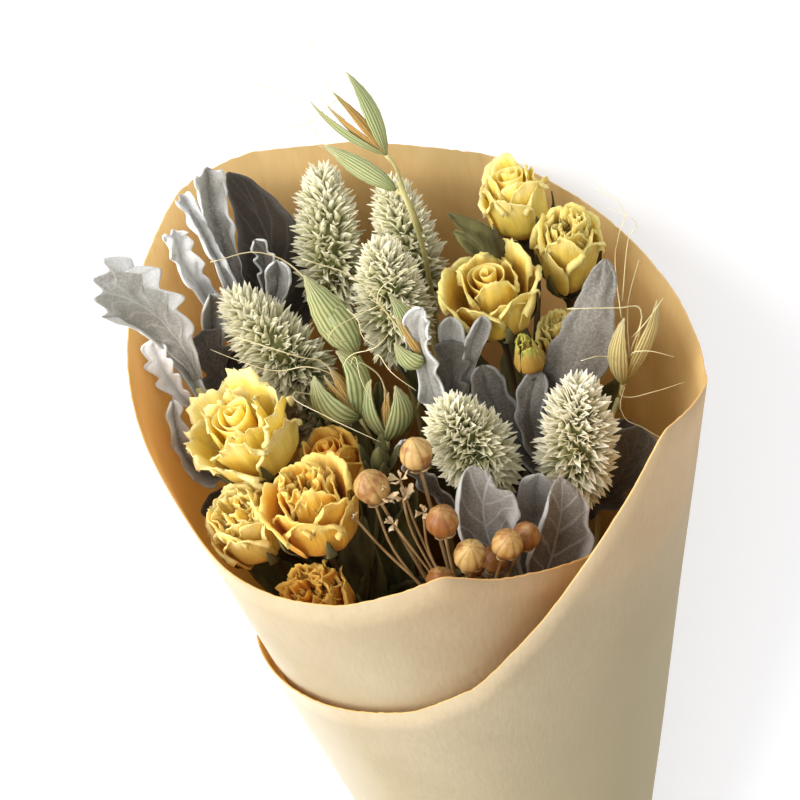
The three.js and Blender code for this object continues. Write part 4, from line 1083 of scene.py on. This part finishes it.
# Wild oats: striped boat-shaped husks that open round golden florets with long awns
oats = {
    "strawRadius": 0.7, "huskWidths": [0.12, 0.62, 0.9, 1, 0.92, 0.68, 0.36, 0.05], "huskThickness": 0.22,
    "awnRadius": 0.15, "stalkRadii": (0.45, 0.4, 0.7), "nerves": 28, "ridge": 0.09, "floretBow": 0.6,
    "tipTint": "#e9e2b8", "blotTint": "#cdbf80", "glow": 0.3,
    "panicles": {
        "oat_back": {
            "slot": 10, "stem": [(8, 36, 300), (8.5, 37, 330), (5, 33.5, 352)],
            "spikelets": [
                {"from": (6, 34.5, 347), "base": (3, 33, 361),
                 "husks": [((-3, 33, 386), 2.5, 1.6), ((-13, 36.5, 378), 2.3, 1.6)],
                 "florets": [((-7, 35, 380), 1.6), ((-9, 35.5, 376), 1.2)],
                 "awn": [(-10, 38, 390), (-5, 24, 404), (2, 4, 422)]},
                {"from": (8.5, 37, 334), "base": (4, 38, 347),
                 "husks": [((-12, 45, 360), 2.6, 1), ((-9, 50, 354), 2.4, 1)],
                 "florets": [((-9, 45, 356), 1.2)], "awn": [(-18, 60, 366), (-30, 66, 372)]},
            ],
            "strays": [
                [(-3.5, 27.2, 360), (-8.5, 27.4, 366), (-13.8, 26.6, 372)],
                [(-6, 39, 376), (-17, 32.7, 374), (-21.9, 31.7, 378)],
                [(-5.5, 31.3, 374), (-10.7, 28.2, 384), (-11.4, 26.5, 392)],
            ],
        },
        "oat_middle": {
            "slot": 5, "stem": [(-11, 9, 270), (-12, 12, 290)],
            "spikelets": [
                {"from": (-12, 12, 286), "base": (-14, 16, 314),
                 "husks": [((-22.5, 17, 339), 5, 0.5), ((-23, 17, 341), 4.6, 0.5)], "florets": [],
                 "awn": [(-32, 14, 352), (-44, 8, 356)]},
                {"from": (-12, 11, 282), "base": (-16.5, 8, 300),
                 "husks": [((-19, 10, 321), 5.6, 3.2), ((-25.5, 7, 317), 5.4, 3.2)],
                 "florets": [((-21.5, 8, 318), 2.8), ((-23, 7, 316.5), 2.4)],
                 "awn": [(-28, 4, 326), (-42, 6, 334)]},
                {"from": (-12, 12, 284), "base": (-10.5, 7, 292),
                 "husks": [((-11.5, 6, 313), 4.8, 2.6), ((-6, 3, 312), 4.6, 2.6)],
                 "florets": [((-8.7, 4, 311.5), 2.4), ((-7.8, 3.5, 310), 2)],
                 "awn": [(-12, -2, 324), (-14, -14, 334)]},
                {"from": (-11.5, 10, 278), "base": (2.5, 5, 317),
                 "husks": [((-4, 3.5, 325), 3.6, 2.5), ((-3, 8, 336), 3, 2)],
                 "florets": [((-2.5, 4.5, 332), 2.2), ((-1, 4, 330), 1.8)],
                 "awn": [(-10, 6, 344), (-22, 2, 356)]},
            ],
            "strays": [
                [(-18, 9, 312), (-26.5, 7.2, 320), (-34, 9.2, 319), (-43.8, 18, 318), (-51, 24, 319)],
                [(-16, 12, 322), (-19.3, 5.5, 330), (-11.8, 9.5, 331), (-6, 7.9, 334)],
                [(-18, 7, 318), (-15.6, 5.7, 322), (-8.7, 1.9, 326), (-3, 1, 332)],
                [(-14, 9, 334), (-11.8, 5.8, 332), (-11.4, 1.6, 330), (-8, 0, 327)],
                [(-10, 6, 318), (-8.5, 2.4, 323), (-6.2, -4.1, 322), (-1, -7, 317)],
                [(-3, 9, 328), (-5.6, 4.6, 340), (0.4, 6.3, 343), (7, 8.5, 344)],
                [(-16, 7, 318), (-14.5, 6.2, 321), (-14.1, 1.2, 318), (-12, -1, 310)],
                [(-14, 10, 300), (-31.5, -2.5, 319), (-24.3, -7.4, 315), (-12, -12, 307)],
            ],
        },
        "oat_right": {
            "slot": 7, "stem": [(44, 4, 278), (50, 3, 294)],
            "spikelets": [
                {"from": (50, 3, 290), "base": (51, -2, 302.5),
                 "husks": [((52.5, -6, 326), 3.4, 2), ((60.5, -8, 331), 3, 2.2)],
                 "florets": [((56, -7, 323), 1.6)], "awn": [(50, -12, 334), (38, -14, 338)], "dry": True},
            ],
            "strays": [
                [(54, 10, 314), (55.3, 20, 324), (56.1, 14.6, 336), (57.2, 11.4, 347), (52, 15, 351)],
                [(55, 12, 318), (58.5, 15.1, 334), (59.8, 9.8, 343), (54, 11.3, 347)],
                [(54, 3, 306), (55.1, 6.8, 316), (56, 4.8, 325), (59.6, 7.4, 333)],
                [(52, -2, 308), (45.1, -8.7, 318), (40.1, -10.4, 319)],
                [(53, -2, 310), (56, -11.4, 319), (63, -10.8, 315)],
                [(52, 0, 302), (50, -13, 307), (57, -14.1, 308), (65, -11.5, 307)],
                [(52, 0, 302), (49, -12, 300), (53, -15, 298), (58, -17, 294)],
                [(54, -4, 318), (57.5, -8.9, 326), (62, -9, 332)],
            ],
        },
    },
}


def huskFinish(name, stripe, pale, root):
    finish = Finish(name, roughness=0.55, specular=0.3)
    across, along = finish.places()
    nerves = finish.reckon("ABSOLUTE", finish.reckon("SINE", finish.times(across, oats["nerves"])))
    colour = finish.mix(finish.spread(nerves, 0.35, 0.95), stripe, pale)
    colour = finish.mix(finish.spread(along, 0.75, 1, 0, 0.7), colour, oats["tipTint"])
    colour = finish.mix(finish.spread(along, 0, 0.25, 0.6, 0), colour, root)
    blots = finish.spread(finish.noise(120, 2), 0.4, 0.7, 0, 0.3)
    colour = finish.mix(blots, colour, oats["blotTint"])
    finish.colour(colour)
    finish.bump(nerves, 0.0004, 0.6)
    return finish.glow(colour, oats["glow"]).material


huskGreen = huskFinish("oat_husk", "#93a05c", "#d3d9a8", "#8f9650")
huskDry = huskFinish("oat_husk_dry", "#b9a464", "#e2d49c", "#a08a4c")
floretGold = huskFinish("oat_floret", "#cf9a44", "#e6c886", "#96743a")
awnStraw = barkFinish("oat_awn", "#e9e0ba", "#c4b57e")


def huskMesh(base, tip, width, bow, aside, seed, material):
    # A pointed boat from the base to the tip, open on the side away from where it bows to
    start, end = Vector(base), Vector(tip)
    at = spinePath([start, (start + end) / 2 + aside * bow, end])
    outward = aside * 1.1 + Vector((0, -0.8, 0.3))

    def shape(u, v):
        place, direction = at(v)
        across = direction.cross(outward).normalized()
        out = across.cross(direction).normalized()
        half = width * smoothly(oats["huskWidths"], v)
        bend = u * 1.35
        ridge = oats["ridge"] * math.cos(u * 14) * min(1, half)
        lift = half * 0.8 * math.cos(bend) + ridge - 0.3 * half
        return place + across * half * math.sin(bend) + out * lift

    return sheetMesh(16, 20, shape, oats["huskThickness"], tone=chance(seed), material=material)


for name, panicle in oats["panicles"].items():
    parts = []
    stalks = [stemLine(panicle["slot"], panicle["stem"], oats["strawRadius"])]
    thin = oats["awnRadius"]
    awns = []
    for stray in panicle["strays"]:
        awns.append([(*point, thin * (0.9 - 0.5 * n / len(stray))) for n, point in enumerate(stray)])
    for k, spikelet in enumerate(panicle["spikelets"]):
        base, husks = Vector(spikelet["base"]), spikelet["husks"]
        middle = (Vector(husks[0][0]) + Vector(husks[1][0])) / 2
        places = (spikelet["from"], alongAxis(base, middle, -4), base)
        stalks.append(eased([(*place, radius) for place, radius in zip(places, oats["stalkRadii"])], 4))
        for n, (tip, width, bow) in enumerate(husks):
            aside = (Vector(tip) - middle + Vector((0.01, 0, 0))).normalized()
            material = 4 if spikelet.get("dry") else 0
            parts.append(huskMesh(base, tip, width, bow, aside, k + 5 * n, material))
        for n, (tip, width) in enumerate(spikelet["florets"]):
            aside = Vector((1 - 2 * n, 0, 0))
            parts.append(huskMesh(base, tip, width, oats["floretBow"], aside, k + 9 + n, 1))
        awn = [(*(base * 0.6 + middle * 0.4), 1.6 * thin), (*middle, 1.3 * thin)]
        awn += [(*point, thin * (1 - 0.25 * n)) for n, point in enumerate(spikelet["awn"])]
        awns.append(awn)
    parts += [tubes(stalks, material=2), tubes(awns, sides=1, smooth=True, material=3)]
    addPiece(f"{name}_spikelets", parts, [huskGreen, floretGold, straw, awnStraw, huskDry], "oat_husk", name)
print("oats done")

# Flax: ribbed seed pods on thin branching stalks
flax = {
    "slot": 16, "stalkRadius": 1, "fork": (1, -33, 248), "spreadFrom": (0, -22, 240), "twigRadius": 0.45,
    "forkRadius": 0.7, "podLength": 1.12, "bareTwig": (0.34, 0.5), "sepals": 5, "sepalThickness": 0.25,
    "bitPetals": 4, "bitThickness": 0.15, "podFullness": 0.93,
    "skin": [(0, "#7e4a20"), (0.5, "#a47c40"), (1, "#b89a5e")],
    "streakTint": "#c8ac78", "stainTint": "#7e4820", "furrowTint": "#6a4020",
    "withered": [(0, "#b98a58"), (0.3, "#ead6ae"), (0.7, "#f6ecd2"), (1, "#fcf8ea")],
    "pods": {
        "flax_pod_1": {"centre": (-4, -30, 316), "width": 8, "tone": 0.8},
        "flax_pod_2": {"centre": (-16, -33, 311), "width": 8.5, "tone": 0.7},
        "flax_pod_3": {"centre": (-1, -42, 304), "width": 8, "tone": 0.3},
        "flax_pod_4": {"centre": (4, -47, 296), "width": 8, "tone": 0.9},
        "flax_pod_5": {"centre": (13, -50, 300), "width": 7.5, "tone": 0.6},
        "flax_pod_6": {"centre": (18, -44, 296), "width": 7, "tone": 0.1},
        "flax_pod_7": {"centre": (-4, -45, 288), "width": 7, "tone": 0.4},
        "flax_pod_8": {"centre": (10, -39, 286), "width": 7, "tone": 0.2},
        "flax_pod_9": {"centre": (4.5, -36, 283), "width": 6.5, "tone": 0.0},
    },
    "twigs": [
        [(-21.8, -34, 304), (-16, -35.6, 292), (-8, -38, 280)],
        [(-16, -32, 304), (-14.5, -34.8, 292), (-8, -38, 278)],
        [(-12.7, -35, 300), (-9, -35, 290), (-3, -39, 277)],
        [(-9.2, -33.2, 306), (-9, -34.4, 296), (-4, -38, 280)],
        [(-9, -31, 310), (-8, -33.5, 300), (-5, -36.5, 286)],
        [(-5, -33, 300), (-6, -36, 290), (-2, -39, 278)],
    ],
    "bits": [
        {"at": (-21.8, -34, 304), "aim": (-0.5, -0.3, 1), "size": 1.3},
        {"at": (-12.7, -35, 300), "aim": (-0.6, -0.6, 1), "size": 1.2},
        {"at": (-9.2, -33.2, 306), "aim": (0.3, -0.4, 1), "size": 1.5},
        {"at": (-9, -31, 310), "aim": (-0.3, -0.2, 1), "size": 1.4},
        {"at": (-5, -33, 300), "aim": (-0.3, -0.6, 1), "size": 1.1},
        {"at": (-13.5, -35.5, 309), "aim": (0.8, -0.5, 0.6), "size": 1.7},
    ],
}


def podFinish():
    finish = Finish("flax_pod_skin", roughness=0.5, specular=0.35)
    streaks = finish.noise(420, 3)
    patches = finish.noise(230, 4)
    tone = finish.attribute("tone")
    base = finish.ramp(tone, flax["skin"])
    colour = finish.mix(finish.spread(streaks, 0.4, 0.7, 0, 0.4), base, flax["streakTint"])
    stain = finish.spread(finish.minus(patches, finish.times(tone, 0.1)), 0.4, 0.54, 0, 0.8)
    colour = finish.mix(stain, colour, flax["stainTint"])
    furrows = finish.spread(finish.attribute("heart"), 0, 1, 0, 0.6)
    colour = finish.mix(furrows, colour, flax["furrowTint"])
    finish.colour(colour)
    return finish.bump(streaks, 0.0003, 0.4).material


podSkin = podFinish()


def podMesh(width, tone, seed):
    # A ball with ten furrows, drawn out to a point
    length = width * flax["podLength"]
    bm = bmesh.new()
    toneLayer = bm.verts.layers.float.new("tone")
    heartLayer = bm.verts.layers.float.new("heart")
    bm.loops.layers.uv.verify()
    ball = bmesh.ops.create_uvsphere(bm, u_segments=60, v_segments=22, radius=1)["verts"]
    for vertex in ball:
        share = (vertex.co.z + 1) / 2
        angle = math.atan2(vertex.co.y, vertex.co.x)
        groove = abs(math.cos(2.5 * angle)) ** 40 + 0.5 * abs(math.sin(2.5 * angle)) ** 40
        spread = math.sqrt(max(0, 1 - vertex.co.z ** 2))
        depth = 1 - 0.05 * groove * math.sin(math.pi * share) ** 0.5
        uneven = 1 + 0.06 * wobble(math.cos(angle), math.sin(angle), share * 2 + seed)
        radius = width / 2 * spread * depth * uneven
        point = 0.1 * length * max(0, (share - 0.9) / 0.1) ** 1.5
        vertex.co = around(radius, angle, length * share * flax["podFullness"] + point)
        vertex[toneLayer] = tone
        vertex[heartLayer] = groove
    return meshFrom(bm)


def podSepals(base, tip, width):
    # Short sepals that hold a pod
    bm = bmesh.new()
    for k in range(flax["sepals"]):
        turn = math.radians(72 * k + 20)

        def shape(u, v, turn=turn):
            half = 0.2 * width * math.sin(math.pi * min(1, 0.3 + 0.7 * v)) + 0.05
            radius = 0.08 * width + 0.36 * width * math.sin(math.pi / 2 * v)
            angle = turn + u * half / max(radius, 0.8)
            height = 0.2 * width * v ** 1.5 - 0.25
            return around(radius, angle, height)

        addSheet(bm, 2, 6, shape)
    mesh = thickened(meshFrom(bm), flax["sepalThickness"])
    mesh.transform(standing(base, tip))
    return mesh


lines = [stemLine(flax["slot"], [flax["fork"]], flax["stalkRadius"])]
sepals = []
start = alongAxis(flax["fork"], (*slotPlace(flax["slot"]), lying["bundleTop"]), 2)
thin = flax["twigRadius"]
for index, (name, pod) in enumerate(flax["pods"].items()):
    centre = Vector(pod["centre"])
    spread = (centre - Vector(flax["spreadFrom"])).normalized()
    base, tip = centre - spread * pod["width"] / 2, centre + spread * pod["width"] / 2
    mesh = podMesh(pod["width"], pod["tone"], index)
    mesh.transform(standing(base, tip))
    addPiece(f"{name}_seed_case", [mesh], [podSkin], "flax_pod", name)
    under = [(*alongAxis(base, tip, -distance), thin) for distance in (12, bundle["seat"])]
    lines.append(eased([(*start, flax["forkRadius"]), *under], 8))
    sepals.append(podSepals(base, tip, pod["width"]))
twigRadius, twigFoot = flax["bareTwig"]
for twig in flax["twigs"]:
    lines.append(eased([(*point, twigRadius) for point in twig] + [(*flax["fork"], twigFoot)], 8))
bits = []
for k, bit in enumerate(flax["bits"]):
    # A withered flower of four crumpled petals
    place = Vector(bit["at"])
    bm = bmesh.new()
    for n in range(flax["bitPetals"]):
        shape = petalShape(
            facing=90 * n + 40 * chance(k + n), half=28, inner=0.2,
            outer=bit["size"] * between(0.5, 1.3, k * 9 + n),
            height=bit["size"] * between(1, 2.4, k * 7 + n), spread=between(0, 0.6, k + n),
            rolled=0, jag=1.2, crumple=1, seed=k * 5 + n,
        )
        addSheet(bm, 5, 5, shape, material=1)
    mesh = thickened(meshFrom(bm), flax["bitThickness"])
    mesh.transform(standing(place, place + Vector(bit["aim"]), 40 * k))
    bits.append(mesh)
twigFinishes = [twigBark, petalFinish("withered", flax["withered"])]
addPiece("flax_stalk_twigs", [tubes(lines), *sepals, *bits], twigFinishes, "flax_stalk", "flax_stalks")
print("flax done")

# Jute twine round the neck of the paper, and the raffia binding inside it
twine = {"radius": 0.9, "turns": 3, "inner": 12.3, "forward": 0.8, "height": 21, "strandTurn": 4.5,
         "steps": 300, "knotRadius": 0.8, "knotTurn": 3, "endSteps": 24}
binding = {"inner": 7.9, "outer": 9.05, "bottom": 18, "top": 30, "turns": 8, "steps": 320}


def jute(path, radius, pitch):
    # Three twisted strands along a path of points
    strands = []
    points = [Vector(p) for p in path]
    for strand in range(3):
        line = []
        travelled = 0
        for k, point in enumerate(points):
            ahead = points[min(k + 1, len(points) - 1)] - points[max(k - 1, 0)]
            along = ahead.normalized()
            aside = along.cross(Vector((0, 0.02, 1))).normalized()
            above = aside.cross(along)
            travelled += (point - points[max(k - 1, 0)]).length
            angle = 2 * math.pi * (travelled / pitch + strand / 3)
            turned = (aside * math.cos(angle) + above * math.sin(angle)) * radius * 0.46
            line.append((*(point + turned), radius * 0.54))
        strands.append(line)
    return tubes(strands, sides=1)


def twineMesh():
    reach = twine["inner"] + twine["radius"]
    bottom = twine["height"] - twine["turns"] * twine["radius"]
    path = []
    for k in range(twine["steps"] + 1):
        share = k / twine["steps"]
        angle = 2 * math.pi * twine["turns"] * share - math.pi / 2
        z = bottom + twine["radius"] + 2 * twine["radius"] * (twine["turns"] - 1) * share
        path.append(around(reach, angle, z))
    front, z = -(twine["inner"] + 2 * twine["radius"]), twine["height"]
    knot = []
    for t in range(13):
        knot.append((3.4 * math.cos(t / 2), front - 0.9 - 0.8 * math.sin(t), z + 1.3 * math.sin(t)))
    parts = [jute(path, twine["radius"], twine["strandTurn"])]
    parts.append(jute(knot, twine["knotRadius"], twine["knotTurn"]))
    for side in (-1, 1):
        end = []
        for k in range(twine["endSteps"] + 1):
            t = k / twine["endSteps"]
            end.append((side * (1.2 + 8 * t), front - 1 - 1.4 * math.sin(2.2 * t), z - 10 * t ** 1.5))
        parts.append(jute(end, twine["knotRadius"], twine["strandTurn"]))
    mesh = joined(parts)
    mesh.transform(Matrix.Translation((coneAxis(0), -twine["forward"], 0)))
    return mesh


juteFibre = barkFinish("jute_fibre", "#c4a878", "#8c7040", 0.95)
raffia = barkFinish("raffia", "#b3a377", "#7d6f45", 0.8)
addPiece("jute_twine", [twineMesh()], [juteFibre], "twine", "twine_tie")
middle = (binding["inner"] + binding["outer"]) / 2
thick = (binding["outer"] - binding["inner"]) / 2
windings = []
for k in range(binding["steps"] + 1):
    share = k / binding["steps"]
    angle = 2 * math.pi * binding["turns"] * share
    z = binding["bottom"] + thick + (binding["top"] - binding["bottom"] - 2 * thick) * share
    windings.append((coneAxis(0) + middle * math.cos(angle), middle * math.sin(angle), z, thick))
addPiece("raffia_binding", [tubes([windings])], [raffia], "binding", "stem_binding")
print("ties done")

# Floor, lights and the camera at the photograph's angle
room = {
    "floor": ("#eaeaed", "#ececef"), "floorGlow": 0.26, "floorSize": 3, "worldLight": 0.8,
    "worldColour": (1, 0.997, 0.99, 1),
    "window": {"power": 18, "size": 0.9, "place": (-0.75, 0.45, 0.55), "aim": (0, 0.08, 0.05),
               "colour": (1, 0.985, 0.965)},
    "softFill": {"power": 2, "size": 1.2, "place": (0.5, 0.5, 1.2), "aim": (0, 0.05, 0.05),
                 "colour": (0.97, 0.98, 1)},
    "camera": {"above": 38, "roll": 11, "distance": 520, "left": 4, "below": 7.5, "lens": 93.6,
               "sensor": 36},
}


def addFloor():
    finish = Finish("pale_floor", roughness=0.9, specular=0.1)
    finish.colour(finish.ramp(finish.noise(2, 1), list(enumerate(room["floor"]))))
    finish.shader.inputs["Emission Color"].default_value = (1, 1, 1, 1)
    finish.shader.inputs["Emission Strength"].default_value = room["floorGlow"]
    bm = bmesh.new()
    bmesh.ops.create_grid(bm, x_segments=1, y_segments=1, size=room["floorSize"])
    bmesh.ops.translate(bm, verts=bm.verts, vec=(0, 0, -0.0002))  # just under what lies on it
    mesh = meshFrom(bm)
    mesh.materials.append(finish.material)
    floor = bpy.data.objects.new("floor", mesh)
    scene.collection.objects.link(floor)


def addLight(name):
    plan = room[name]
    light = bpy.data.lights.new(name, "AREA")
    light.energy = plan["power"]
    light.size = plan["size"]
    light.color = plan["colour"]
    lamp = bpy.data.objects.new(name, light)
    lamp.location = plan["place"]
    lamp.rotation_euler = (Vector(plan["aim"]) - Vector(plan["place"])).to_track_quat("-Z", "Y").to_euler()
    scene.collection.objects.link(lamp)


def addCamera():
    # Looks down into the mouth, rolled a little, at a distance in millimetres from the middle of the rim
    plan = room["camera"]
    down, roll = math.radians(plan["above"]), math.radians(plan["roll"])
    towards = Vector((0, -math.cos(down), math.sin(down)))
    level = Vector((1, 0, 0))
    steep = Vector((0, math.sin(down), math.cos(down)))
    right = level * math.cos(roll) - steep * math.sin(roll)
    up = steep * math.cos(roll) + level * math.sin(roll)
    place = Vector((0, 0, lying["rimHeight"])) + towards * plan["distance"]
    place = place - right * plan["left"] - up * plan["below"]
    camera = bpy.data.cameras.new("camera")
    camera.lens = plan["lens"]
    camera.sensor_width = plan["sensor"]
    camera.clip_start = 0.01
    holder = bpy.data.objects.new("camera", camera)
    turn = laying.to_3x3().normalized() @ Matrix((right, up, towards)).transposed()
    holder.matrix_world = Matrix.Translation(laying @ place) @ turn.to_4x4()
    scene.collection.objects.link(holder)
    scene.camera = holder


addFloor()
addLight("window")
addLight("softFill")
addCamera()
world = bpy.data.worlds.new("studio")
world.use_nodes = True
background = world.node_tree.nodes["Background"]
background.inputs["Color"].default_value = room["worldColour"]
background.inputs["Strength"].default_value = room["worldLight"]
scene.world = world
scene.view_settings.view_transform = "Standard"
print("floor, lights and camera done")
